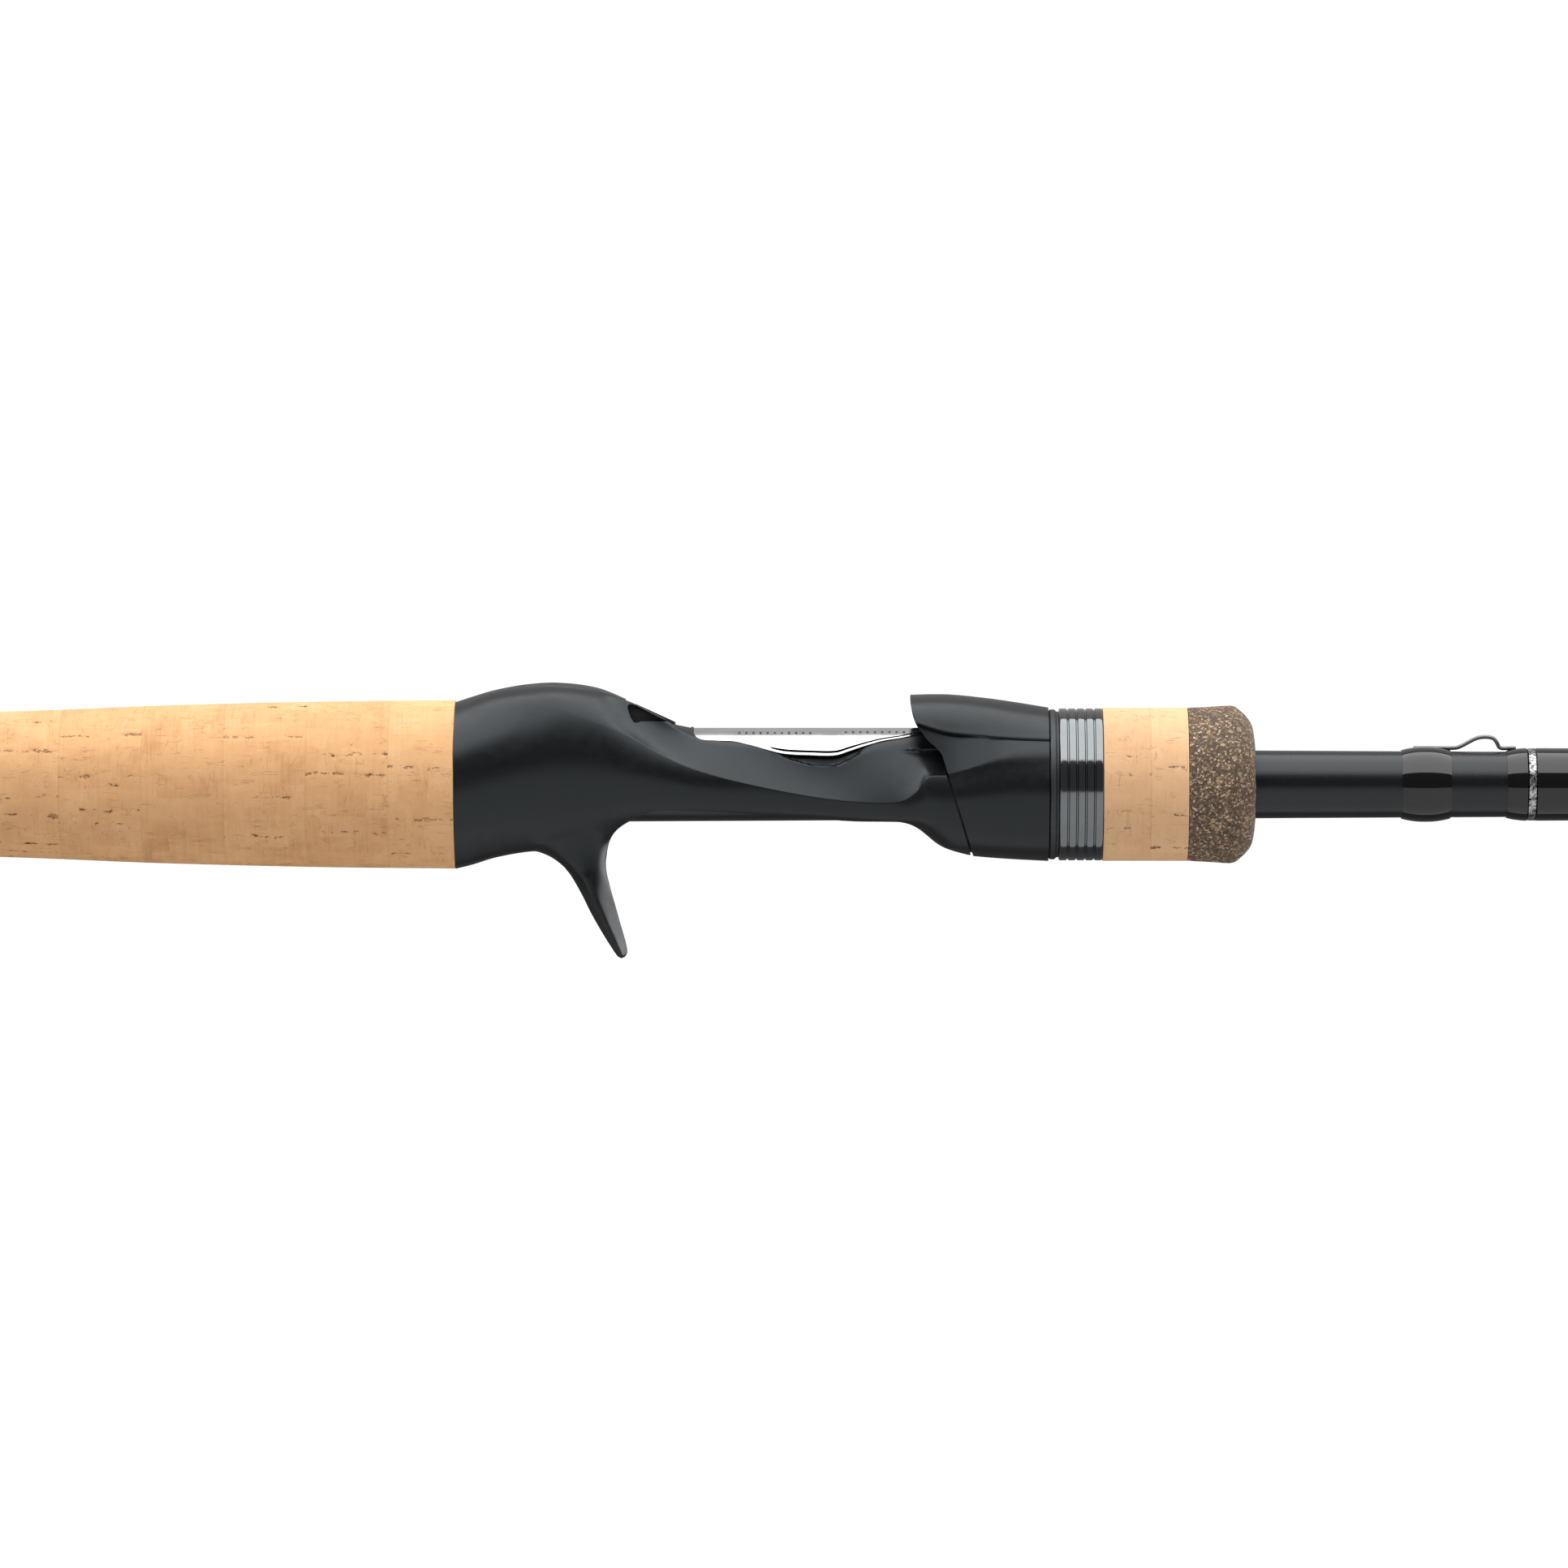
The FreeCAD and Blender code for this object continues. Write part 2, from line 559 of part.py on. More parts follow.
# ---- guides ----
def strut(a, b, r):
    """Round wire from a to b, run on a little at each end."""
    along = b - a
    reach = along.Length
    along.normalize()
    return Part.makeCylinder(r, reach + 1.2 * r, a - along * (0.6 * r), along)


def guide_ring(x, z, bore_r, band=0.9, width=1.5):
    """Ceramic ring with a short straight land inside."""
    h = width / 2
    outline = [(x - 0.35, bore_r), (x + 0.35, bore_r), (x + h, bore_r + 0.3), (x + h, bore_r + band),
               (x - h, bore_r + band), (x - h, bore_r + 0.3)]
    ring = spin(outline)
    ring.translate(V(0, 0, z))
    return ring


def foot(x0, x1, direction):
    """Flat tapered foot lying on the blank from x0 (thick end) to x1."""
    z0 = blank_r(x0) - 0.15
    z1 = blank_r(x1) - 0.15
    thick = 0.95
    outline = [(x0, z0), (x1, z1), (x1, z1 + 0.35), (x0 + 0.4 * (x1 - x0), z0 + thick),
               (x0 - direction * 0.6, z0 + thick), (x0 - direction * 0.6, z0)]
    pad = side_prism(outline, 0.9)
    lo = min(x0, x1) - 1
    hi = max(x0, x1) + 1
    cone = spin([(lo, 0), (lo, blank_r(lo)), (hi, blank_r(hi)), (hi, 0)])
    return pad.cut(cone)


def make_guide(x, bore_r, height, double):
    band = 0.9 if bore_r > 2.5 else 0.7
    ring = guide_ring(x, height, bore_r, band)
    holder_r = bore_r + band
    holder = tube(x - 0.55, x + 0.55, holder_r, holder_r + 0.7)
    holder.translate(V(0, 0, height))
    wire = 0.55 if bore_r > 2.5 else 0.42
    low = height - (holder_r + 0.35) * 0.85
    side = (holder_r + 0.35) * 0.53
    reach = 0.62 * height + 3.0
    foot_len = 9.0 if double else 8.0
    front_x = x + reach
    top = blank_r(front_x) + 0.45
    frame = holder
    for sign in (1, -1):
        frame = frame.fuse(strut(V(x, sign * side, low), V(front_x, sign * 0.35, top), wire))
    frame = frame.fuse(foot(front_x, front_x + foot_len, 1))
    wraps = [(front_x + 0.8, front_x + foot_len + 2.5)]
    if double:
        rear_x = x - 0.45 * reach
        top = blank_r(rear_x) + 0.45
        frame = frame.fuse(strut(V(x, 0, height - holder_r - 0.35), V(rear_x, 0, top), wire))
        frame = frame.fuse(foot(rear_x, rear_x - foot_len, -1))
        wraps.append((rear_x - foot_len - 2.5, rear_x - 0.8))
    cone = spin([(x - 60, 0), (x - 60, blank_r(x - 60)), (x + 60, blank_r(x + 60)), (x + 60, 0)])
    bore = Part.makeCylinder(holder_r, 30, V(x - 15, 0, height), V(1, 0, 0))
    frame = largest(frame.cut(bore).cut(cone))
    wound = [largest(spin(wrap_profile(a, b, 1.15)).cut(frame)) for a, b in wraps]
    return frame, ring, Part.makeCompound(wound)


def make_tip_top():
    x_end = BLANK_END
    x0 = x_end - 10
    tube_r = blank_r(x0) + 0.35
    sleeve = spin([(x0, blank_r(x0)), (x0, tube_r), (x_end + 1, tube_r), (x_end + 1, 0),
                   (x_end, 0), (x_end, blank_r(x_end))])
    ring_x = ROD_LENGTH - 0.75
    ring = guide_ring(ring_x, TIP_RING_Z, TIP_RING_R, 0.7)
    holder_r = TIP_RING_R + 0.7
    holder = tube(ring_x - 0.55, ring_x + 0.55, holder_r, holder_r + 0.6)
    holder.translate(V(0, 0, TIP_RING_Z))
    frame = sleeve.fuse(holder)
    for sign in (1, -1):
        frame = frame.fuse(strut(V(ring_x, sign * 2.3, TIP_RING_Z - 1.6),
                                 V(x0 + 4, sign * 0.6, tube_r - 0.2), 0.35))
    frame = frame.fuse(strut(V(ring_x, 0, TIP_RING_Z - holder_r - 0.3), V(x_end, 0, 0.9), 0.4))
    cone = spin([(x0 - 1, 0), (x0 - 1, blank_r(x0 - 1)), (x_end, blank_r(x_end)), (x_end, 0)])
    bore = Part.makeCylinder(holder_r, 10, V(ring_x - 5, 0, TIP_RING_Z), V(1, 0, 0))
    frame = largest(frame.cut(bore).cut(cone))
    wrap = spin(wrap_profile(x0 - 6, x0 - 0.1, 0.4))
    return frame, ring, wrap


save("blank", make_blank())
save("butt_cap", make_butt_cap())
save("butt_trim_ring", make_trim_ring())
save("rear_cork_rings", make_rear_cork())
save("seat_body", make_seat_body())
save("foot_plate", make_foot_plate())
save("pocket_liner", make_pocket_liner())
save("rear_arbor", make_arbor(REAR_ARBOR, REAR_BORE_R))
save("front_arbor", make_arbor(FRONT_ARBOR, FRONT_BORE_R))
save("hood", make_hood())
save("thrust_ring", make_thrust_ring())
save("lock_ring", make_lock_ring())
save("nut_sleeve", make_nut_sleeve())
save("fore_cork_rings", make_fore_cork())
save("fore_burl", make_fore_burl())

keeper_wire = make_keeper_wire()
rear_wrap, front_wrap = make_keeper_wraps(keeper_wire)
save("hook_keeper", keeper_wire)
save("keeper_rear_wrap", rear_wrap)
save("keeper_front_wrap", front_wrap)
save("trim_band", make_trim_band())

for number, values in enumerate(GUIDES, start=1):
    guide_frame, ceramic, windings = make_guide(*values)
    save("guide_%d_frame" % number, guide_frame)
    save("guide_%d_ring" % number, ceramic)
    save("guide_%d_wrap" % number, windings)

tip_frame, tip_ring, tip_wrap = make_tip_top()
save("tip_frame", tip_frame)
save("tip_ring", tip_ring)
save("tip_wrap", tip_wrap)
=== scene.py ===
import math
import bmesh
import bpy
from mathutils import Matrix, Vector


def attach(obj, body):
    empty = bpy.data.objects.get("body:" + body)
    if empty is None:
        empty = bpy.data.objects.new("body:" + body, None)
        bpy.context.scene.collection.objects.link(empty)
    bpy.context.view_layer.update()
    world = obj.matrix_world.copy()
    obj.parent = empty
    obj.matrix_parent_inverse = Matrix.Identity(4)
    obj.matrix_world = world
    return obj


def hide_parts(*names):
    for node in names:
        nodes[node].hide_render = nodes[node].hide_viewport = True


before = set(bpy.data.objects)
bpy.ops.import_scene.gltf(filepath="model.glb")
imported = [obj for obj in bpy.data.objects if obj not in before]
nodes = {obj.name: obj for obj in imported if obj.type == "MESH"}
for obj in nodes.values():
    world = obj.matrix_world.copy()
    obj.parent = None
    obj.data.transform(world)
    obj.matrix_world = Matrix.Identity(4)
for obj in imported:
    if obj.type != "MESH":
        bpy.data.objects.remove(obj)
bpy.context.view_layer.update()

# Lengths are in millimetres unless a comment says otherwise. Along the rod x runs from the
# butt; shapes on the reel seat give x from the seat's rear face, which stands at SEAT.
MM = 0.001
SEAT = 230.0
SADDLE_R = 8.8
PLATE_THICK = 1.2
LATHE_CENTRE = 1e-5  # radius in metres of the small circle that the lathe's outlines run on


# ---- node arithmetic
class Value:
    """A socket that can be written into plain arithmetic."""

    def __init__(self, graph, socket):
        self.graph = graph
        self.socket = socket

    def math(self, operation, *others):
        n = self.graph.add("ShaderNodeMath", {"operation": operation})
        for slot, item in zip(n.inputs, (self,) + others):
            self.graph.feed(slot, item)
        return Value(self.graph, n.outputs[0])

    def __add__(self, other):
        return self.math("ADD", other)

    __radd__ = __add__

    def __sub__(self, other):
        return self.math("SUBTRACT", other)

    def __rsub__(self, other):
        return self.math("MULTIPLY", -1.0) + other

    def __mul__(self, other):
        return self.math("MULTIPLY", other)

    __rmul__ = __mul__

    def __truediv__(self, other):
        return self.math("DIVIDE", other)

    def __gt__(self, other):
        return self.math("GREATER_THAN", other)

    def __abs__(self):
        return self.math("ABSOLUTE")


class Graph:
    """Any node tree, with one way to add a node and wire it."""

    def __init__(self, tree):
        self.tree = tree
        self.place = None

    def add(self, kind, settings=None):
        n = self.tree.nodes.new(kind)
        for key, value in (settings or {}).items():
            if key == "stops":
                while len(n.color_ramp.elements) < len(value):
                    n.color_ramp.elements.new(1.0)
                for element, (spot, colour) in zip(n.color_ramp.elements, value):
                    element.position = spot
                    element.color = (*colour, 1.0)
            else:
                setattr(n, key, value)
        return n

    def feed(self, slot, item):
        if isinstance(item, Value):
            self.tree.links.new(item.socket, slot)
        elif isinstance(item, tuple) and len(slot.default_value) == 4:
            slot.default_value = (*item, 1.0)
        else:
            slot.default_value = item

    def node(self, kind, settings=None, output=0, **sockets):
        """Sockets are given by name, or by place as i0, i1 and so on."""
        n = self.add(kind, settings)
        for label, item in sockets.items():
            place = label[0] == "i" and label[1:].isdigit()
            slot = n.inputs[int(label[1:])] if place else n.inputs[label.replace("_", " ")]
            self.feed(slot, item)
        return Value(self, n.outputs[output])

    def axis(self, name):
        return self.node("ShaderNodeSeparateXYZ", None, name, i0=self.place)

    def scaled(self, vector, factor):
        return self.node("ShaderNodeVectorMath", {"operation": "SCALE"}, i0=vector, Scale=factor)

    def noise(self, scale, detail=2.0, roughness=0.5, vector=None, distortion=0.0):
        return self.node("ShaderNodeTexNoise", Vector=vector or self.place, Scale=scale,
                         Detail=detail, Roughness=roughness, Distortion=distortion)

    def streaks(self, along, across, detail=2.0, roughness=0.5, scale=1.0, distortion=0.0):
        """Noise with its own scale along the rod and across it."""
        vector = self.node("ShaderNodeVectorMath", {"operation": "MULTIPLY"}, i0=self.place,
                           i1=(along, across, across))
        return self.noise(scale, detail, roughness, vector, distortion)

    def grade(self, value, low, high, to_low=0.0, to_high=1.0):
        return self.node("ShaderNodeMapRange", {"interpolation_type": "SMOOTHSTEP"}, i0=value,
                         i1=low, i2=high, i3=to_low, i4=to_high)

    def chance(self, a, b, c=0.0):
        """One random number for each whole-number triple."""
        key = self.node("ShaderNodeCombineXYZ", X=a, Y=b, Z=c)
        return self.node("ShaderNodeTexWhiteNoise", Vector=key)

    def mix(self, amount, a, b):
        return self.node("ShaderNodeMix", {"data_type": "RGBA"}, 2, i0=amount, i6=a, i7=b)

    def ramp(self, amount, stops):
        return self.node("ShaderNodeValToRGB", {"stops": stops}, Fac=amount)

    def cells(self, scale, vector=None, edge=False):
        """Random number of each cell, or the distance to the cell's edge."""
        if edge:
            return self.node("ShaderNodeTexVoronoi", {"feature": "DISTANCE_TO_EDGE"},
                             Vector=vector or self.place, Scale=scale)
        colour = self.node("ShaderNodeTexVoronoi", {"feature": "F1"}, 1,
                           Vector=vector or self.place, Scale=scale)
        return self.node("ShaderNodeSeparateXYZ", i0=colour)


class Finish(Graph):
    """One material, built on a Principled shader; its place is in millimetres."""

    def __init__(self, name, **constants):
        self.material = bpy.data.materials.new(name)
        self.material.use_nodes = True
        super().__init__(self.material.node_tree)
        self.shader = next(n for n in self.tree.nodes if n.type == "BSDF_PRINCIPLED")
        for label, value in constants.items():
            self.shader.inputs[label.replace("_", " ")].default_value = value
        self.place = self.scaled(self.node("ShaderNodeTexCoord", None, "Object"), 1.0 / MM)

    def colour(self, value):
        self.feed(self.shader.inputs["Base Color"], value)

    def roughness(self, value, low, high, first, last):
        """Goes from the first roughness to the last as the value goes from low to high."""
        self.feed(self.shader.inputs["Roughness"], self.grade(value, low, high, first, last))

    def bump(self, height, depth_mm):
        bent = self.node("ShaderNodeBump", None, 0, Distance=depth_mm * MM, Height=height)
        self.feed(self.shader.inputs["Normal"], bent)


# ---- finishes
CORK_PITCH = 12.7
REAR_JOINT = SEAT - 10.1
FORE_JOINT = SEAT + 107.6
LANE = 2.9
CORK_R = 12.0


def cork_ring(g, joint):
    """Whole number of the cork ring at a place, and how near its joints are."""
    ring = (joint + 40 * CORK_PITCH - g.axis("X")) / CORK_PITCH
    seam = g.grade(abs(ring.math("FRACT") - 0.5), 0.488, 0.4985)
    return ring.math("FLOOR"), seam


def round_grip(g):
    """Distance round the grip, from the rod's side."""
    return g.axis("Z").math("ARCTAN2", g.axis("Y") * -1.0) * CORK_R


def cork_pits(g, ring):
    """Dark channels that run lengthwise through single rings and break up on the way."""
    sway = (g.streaks(0.6, 1.0, scale=0.3) - 0.5) * 1.6
    lane = (round_grip(g) + sway) / LANE + ring * 0.37
    index = lane.math("FLOOR")
    chosen = g.chance(index, ring, 3.0)
    shift = (g.chance(index, ring, 8.0) - 0.5) * 0.5
    ragged = (g.noise(2.6, 3.0, 0.75) - 0.5) * 0.62
    across = abs(lane.math("FRACT") - 0.5 - shift) * LANE + ragged
    broken = g.streaks(0.5, 0.8, 4.0, 0.7)
    width = g.grade(broken, 0.49, 0.74, -0.05, 0.62)
    mouth = g.grade(across, width * 0.4, width + 0.07, 1.0, 0.0)
    return mouth * g.grade(chosen, 0.7, 0.86) * (width > 0.0)


def natural_cork(name, joint, pale):
    """Sanded cork: each ring has its own tone, growth lines, channels and dark pits."""
    f = Finish(name, Specular_IOR_Level=0.2)
    ring, seam = cork_ring(f, joint)
    tone = f.chance(ring, 5.0)
    drift = (f.noise(0.5, 2.0) - 0.5) * 1.2
    strip = ((round_grip(f) + drift) / 3.4 + ring * 0.61).math("FLOOR")
    slab = ((f.axis("X") + drift) / 4.7 + strip * 0.43).math("FLOOR")
    patch = f.chance(slab, strip, ring)
    mottle = f.streaks(0.8, 1.0, 4.0, 0.55, 0.11)
    cloud = f.noise(0.5, 4.0, 0.6)
    grain = f.noise(3.2, 3.0, 0.65)
    year = f.streaks(2.0, 0.08, 3.0, 0.75)
    shade = tone * 0.13 + patch * 0.12 + mottle * 0.55 + cloud * 0.25 + grain * 0.1
    shade = shade + year * 0.26 - 0.13
    body = f.ramp(shade, [(0.36, (0.52, 0.265, 0.115)), (0.5, (0.635, 0.345, 0.16)),
                          (0.66, (0.69, 0.395, 0.19)), (0.84, (0.73, 0.45, 0.235))])
    body = f.mix(pale, body, (0.72, 0.52, 0.36))
    layers = f.streaks(0.34, 0.045, distortion=0.4)
    growth = f.grade(abs((layers * 13.0 + ring * 0.3).math("FRACT") - 0.5), 0.015, 0.05, 1.0, 0.0)
    growth = growth * f.grade(f.noise(0.35, 3.0, 0.6), 0.48, 0.62)
    body = f.mix(growth * 0.33, body, (0.36, 0.175, 0.075))
    pit = cork_pits(f, ring)
    speck = f.grade(f.streaks(0.6, 1.5, 2.0, 0.6, 1.9), 0.72, 0.77)
    hair = f.grade(abs(f.streaks(0.25, 1.5, 3.0, 0.55, 0.5) - 0.5), 0.002, 0.009, 1.0, 0.0)
    hair = hair * f.grade(f.noise(0.42, 2.0), 0.5, 0.62)
    body = f.mix(hair * 0.3, body, (0.3, 0.14, 0.06))
    deep = f.grade(f.noise(2.6, 2.0, 0.6), 0.38, 0.6)
    body = f.mix(pit * 0.55, body, (0.40, 0.2, 0.09))
    body = f.mix((pit * deep + speck * 0.5).math("MINIMUM", 1.0) * 0.9, body,
                 (0.085, 0.036, 0.016))
    scratch = f.grade(abs(f.streaks(0.14, 2.6) - 0.5), 0.0, 0.006, 1.0, 0.0)
    scratch = scratch * f.grade(cloud, 0.5, 0.62)
    body = f.mix(scratch * 0.5, body, (0.82, 0.58, 0.36))
    body = f.mix(seam * 0.14, body, (0.38, 0.2, 0.09))
    f.colour(body)
    f.roughness(mottle, 0.3, 0.7, 0.68, 0.82)
    f.bump(grain * 0.22 - pit * 1.0 - seam * 0.2 - growth * 0.15 - hair * 0.3, 0.16)
    return f.material


def cork_composite():
    """Cork and rubber granules pressed together and sanded."""
    f = Finish("sanded_cork_composite", Specular_IOR_Level=0.28)
    bend = f.node("ShaderNodeTexNoise", None, 1, Vector=f.place, Scale=1.6, Detail=3.0)
    sway = f.node("ShaderNodeVectorMath", {"operation": "MULTIPLY_ADD"}, i0=bend,
                  i1=(0.22, 0.22, 0.22), i2=f.place)
    coarse = f.cells(1.5, sway)
    fine = f.cells(3.7, sway)
    chip = f.ramp(fine, [(0.0, (0.045, 0.031, 0.022)), (0.36, (0.1, 0.066, 0.043)),
                         (0.58, (0.16, 0.105, 0.064)), (0.74, (0.25, 0.15, 0.088)),
                         (0.88, (0.48, 0.32, 0.2)), (1.0, (0.78, 0.58, 0.4))])
    lump = f.ramp(coarse, [(0.0, (0.33, 0.16, 0.09)), (0.5, (0.36, 0.245, 0.14)),
                           (1.0, (0.56, 0.38, 0.2))])
    body = f.mix((coarse > 0.95) * 0.7, chip, lump)
    rim = f.grade(f.cells(3.7, sway, edge=True), 0.02, 0.09, 1.0, 0.0)
    body = f.mix(rim * 0.6, body, (0.06, 0.045, 0.034))
    dust = f.noise(6.0, 3.0, 0.6)
    f.colour(f.mix(dust * 0.35, body, (0.13, 0.1, 0.07)))
    f.roughness(fine, 0.0, 1.0, 0.55, 0.78)
    f.bump(dust * 0.3 - rim * 0.6 + fine * 0.3, 0.06)
    return f.material


def moulded_resin(name):
    """Satin moulded resin with a very fine texture and slight handling marks."""
    f = Finish(name, Specular_IOR_Level=0.4, Specular_Tint=(0.86, 0.95, 1.0, 1.0))
    fine = f.noise(9.0, 2.0, 0.5)
    cloud = f.noise(0.2, 3.0, 0.55)
    f.colour(f.mix(cloud * 0.6 + fine * 0.4, (0.0012, 0.0014, 0.0018), (0.002, 0.0024, 0.003)))
    rub = f.noise(0.8, 4.0, 0.6)
    f.roughness(rub, 0.3, 0.75, 0.33, 0.4)
    f.bump(fine, 0.005)
    return f.material


def polished_plate():
    """Polished metal with fine lengthwise lines, painted grey shade patches and painted shade in
    its grooves.
    """
    f = Finish("polished_foot_plate", Metallic=1.0)
    lines = f.streaks(0.12, 7.0, 3.0, 0.6)
    # Painted shade: large darker grey patches in the polished face's colour.
    painted_shade_patches = f.noise(0.16, 3.0, 0.55)
    body = f.mix(painted_shade_patches.math("POWER", 2.0), (0.74, 0.74, 0.75), (0.4, 0.4, 0.41))
    across = f.axis("Y")
    height = f.axis("Z")
    radius = (across * across + height * height).math("SQRT")
    # Painted shade: the colour goes almost black wherever the plate lies below its outer face, in
    # the grooves inside the rims and underneath.
    body = f.mix(f.grade(radius, SADDLE_R - 0.16, SADDLE_R - 0.05, 1.0, 0.0), body,
                 (0.012, 0.012, 0.014))
    f.colour(body)
    f.roughness(lines, 0.25, 0.8, 0.1, 0.22)
    f.bump(lines, 0.003)
    return f.material


def turned_metal(name, colour, rough, lift=1.4):
    """Anodised or plated metal with fine turning lines."""
    f = Finish(name, Metallic=1.0)
    lines = f.streaks(14.0, 0.6)
    wear = f.noise(0.7, 4.0, 0.6)
    f.colour(f.mix(wear, colour, tuple(c * lift for c in colour)))
    f.roughness(lines, 0.3, 0.7, rough, rough + 0.07)
    f.bump(lines, 0.003)
    return f.material


def lacquered_blank():
    """Graphite tube under satin black lacquer, with a faint wound pattern."""
    f = Finish("satin_black_blank", Specular_IOR_Level=0.46, Specular_Tint=(0.88, 0.95, 1.0, 1.0))
    fine = f.noise(6.0, 2.0, 0.5)
    tape = f.streaks(0.9, 0.18, 1.0, 0.4)
    f.colour(f.mix(tape, (0.0014, 0.0017, 0.002), (0.0028, 0.0032, 0.0038)))
    f.roughness(fine, 0.3, 0.7, 0.27, 0.33)
    f.bump(tape * 0.6 + fine * 0.4, 0.006)
    return f.material


def coated_winding():
    """Black thread turns seen through a thick clear coat."""
    f = Finish("coated_black_winding", Specular_IOR_Level=0.03, Coat_Weight=1.0,
               Coat_Roughness=0.025)
    turn = (f.axis("X") * (2 * math.pi / 0.21)).math("SINE")
    lay = f.streaks(3.2, 0.5)
    f.colour(f.mix(lay, (0.0005, 0.0005, 0.0006), (0.0016, 0.0016, 0.0018)))
    f.roughness(turn, -1.0, 1.0, 0.6, 0.45)
    f.bump(turn * 0.5 + lay * 0.5, 0.012)
    return f.material


def silver_thread():
    """Flat metallic yarn whose facets catch the light one by one."""
    f = Finish("silver_thread", Metallic=1.0)
    facet = f.cells(6.5)
    strand = f.cells(3.6)
    f.colour(f.mix(strand, (0.015, 0.015, 0.017), (0.62, 0.63, 0.65)))
    f.roughness(facet, 0.0, 1.0, 0.12, 0.3)
    f.bump(facet, 0.045)
    return f.material


def plain_black(name, level, rough, grain_size=3.2, depth=0.02):
    """Dull black for rubber, foam and ceramic pieces, with a grain of its own."""
    f = Finish(name)
    grain = f.noise(grain_size, 4.0, 0.6)
    f.colour(f.mix(grain, (level * 0.8,) * 3, (level * 1.3,) * 3))
    f.roughness(grain, 0.3, 0.7, rough - 0.05, rough + 0.05)
    f.bump(grain, depth)
    return f.material


def speckled_liner():
    """Dark resin of the pocket's lining with pale specks."""
    f = Finish("speckled_pocket_liner")
    speck = f.grade(f.noise(2.4, 2.0, 0.6), 0.64, 0.74)
    f.colour(f.mix(speck * 0.7, (0.005, 0.005, 0.0055), (0.05, 0.05, 0.052)))
    f.roughness(speck, 0.0, 1.0, 0.6, 0.4)
    f.bump(speck, 0.01)
    return f.material


seat_resin = moulded_resin("satin_black_resin")
rear_cork = natural_cork("natural_cork_rear", REAR_JOINT, 0.0)
fore_cork = natural_cork("natural_cork_fore", FORE_JOINT, 0.25)
composite = cork_composite()
blank_lacquer = lacquered_blank()
winding_coat = coated_winding()
silver_yarn = silver_thread()
plate_metal = polished_plate()
thrust_metal = turned_metal("grey_thrust_ring", (0.05, 0.052, 0.058), 0.5)
trim_metal = turned_metal("dark_trim_ring", (0.09, 0.09, 0.1), 0.22)
guide_metal = turned_metal("black_plated_guide", (0.06, 0.06, 0.066), 0.16)
wire_metal = turned_metal("bright_keeper_wire", (0.15, 0.147, 0.145), 0.24, 1.3)
lock_metal = turned_metal("gloss_black_anodised", (0.15, 0.16, 0.165), 0.07, 1.15)
liner_resin = speckled_liner()
butt_rubber = plain_black("butt_rubber", 0.018, 0.62)
arbor_foam = plain_black("arbor_foam", 0.05, 0.85)
nut_resin = plain_black("moulded_nut", 0.02, 0.5)
mark_fill = plain_black("engraving_fill", 0.02, 0.6)
ceramic = plain_black("polished_ceramic_ring", 0.014, 0.1, 1.5, 0.002)


# ---- geometry trees
class Recipe(Graph):
    """Geometry tree with named inputs; what comes out carries the finish given to it."""

    def __init__(self, name, **inputs):
        super().__init__(bpy.data.node_groups.new(name, "GeometryNodeTree"))
        face = self.tree.interface
        for label, kind in {"Geometry": "Geometry", **inputs, "Finish": "Material"}.items():
            face.new_socket(label, in_out="INPUT", socket_type="NodeSocket" + kind)
        face.new_socket("Geometry", in_out="OUTPUT", socket_type="NodeSocketGeometry")
        self.given = self.add("NodeGroupInput").outputs
        self.outlet = self.add("NodeGroupOutput")

    def __getitem__(self, label):
        return Value(self, self.given[label])

    def close(self, shape):
        real = self.node("GeometryNodeRealizeInstances", Geometry=shape)
        coated = self.node("GeometryNodeSetMaterial", Geometry=real, Material=self["Finish"])
        self.feed(self.outlet.inputs[0], coated)
        return self.tree

    def raised(self, height):
        """The shape given, every point moved out along its normal."""
        shift = self.scaled(self.node("GeometryNodeInputNormal"), height * MM)
        return self.node("GeometryNodeSetPosition", Geometry=self["Geometry"], Offset=shift)


def lathe_tree():
    """Turns a closed outline about the rod's axis."""
    g = Recipe("turned_on_lathe", Segments="Int")
    path = g.node("GeometryNodeCurvePrimitiveCircle", Resolution=g["Segments"],
                  Radius=LATHE_CENTRE)
    skin = g.node("GeometryNodeCurveToMesh", Curve=path, Profile_Curve=g["Geometry"])
    laid = g.node("GeometryNodeTransform", Geometry=skin, Rotation=(0.0, math.pi / 2, 0.0))
    return g.close(laid)


def pitted_tree():
    """Sinks the channels of natural cork into its rings and roughens the rest."""
    g = Recipe("sanded_and_pitted", Joint="Float", Depth="Float")
    g.place = g.scaled(g.node("GeometryNodeInputPosition"), 1.0 / MM)
    ring, seam = cork_ring(g, g["Joint"])
    depth = (cork_pits(g, ring) + g.noise(1.4, 3.0, 0.6) * 0.3 + seam * 0.15) * g["Depth"]
    return g.close(g.raised(depth * -1.0))


def granular_tree():
    """Stands the granules of pressed cork slightly out of its surface."""
    g = Recipe("sanded_granules", Depth="Float")
    g.place = g.scaled(g.node("GeometryNodeInputPosition"), 1.0 / MM)
    height = (g.cells(1.7) + g.noise(2.5, 2.0, 0.6) - 1.6) * g["Depth"]
    return g.close(g.raised(height))


def winding_tree():
    """Thread wound round the rod's axis from one place to another."""
    g = Recipe("wound_thread", Start="Float", Length="Float", Radius="Float", Turns="Float",
               Thread="Float")
    coil = g.node("GeometryNodeCurveSpiral", Resolution=72, Rotations=g["Turns"],
                  Start_Radius=g["Radius"], End_Radius=g["Radius"], Height=g["Length"])
    thread = g.node("GeometryNodeCurvePrimitiveCircle", Resolution=8, Radius=g["Thread"])
    skin = g.node("GeometryNodeCurveToMesh", Curve=coil, Profile_Curve=thread, Fill_Caps=True)
    place = g.node("ShaderNodeCombineXYZ", X=g["Start"])
    laid = g.node("GeometryNodeTransform", Geometry=skin, Translation=place,
                  Rotation=(0.0, math.pi / 2, 0.0))
    return g.close(laid)


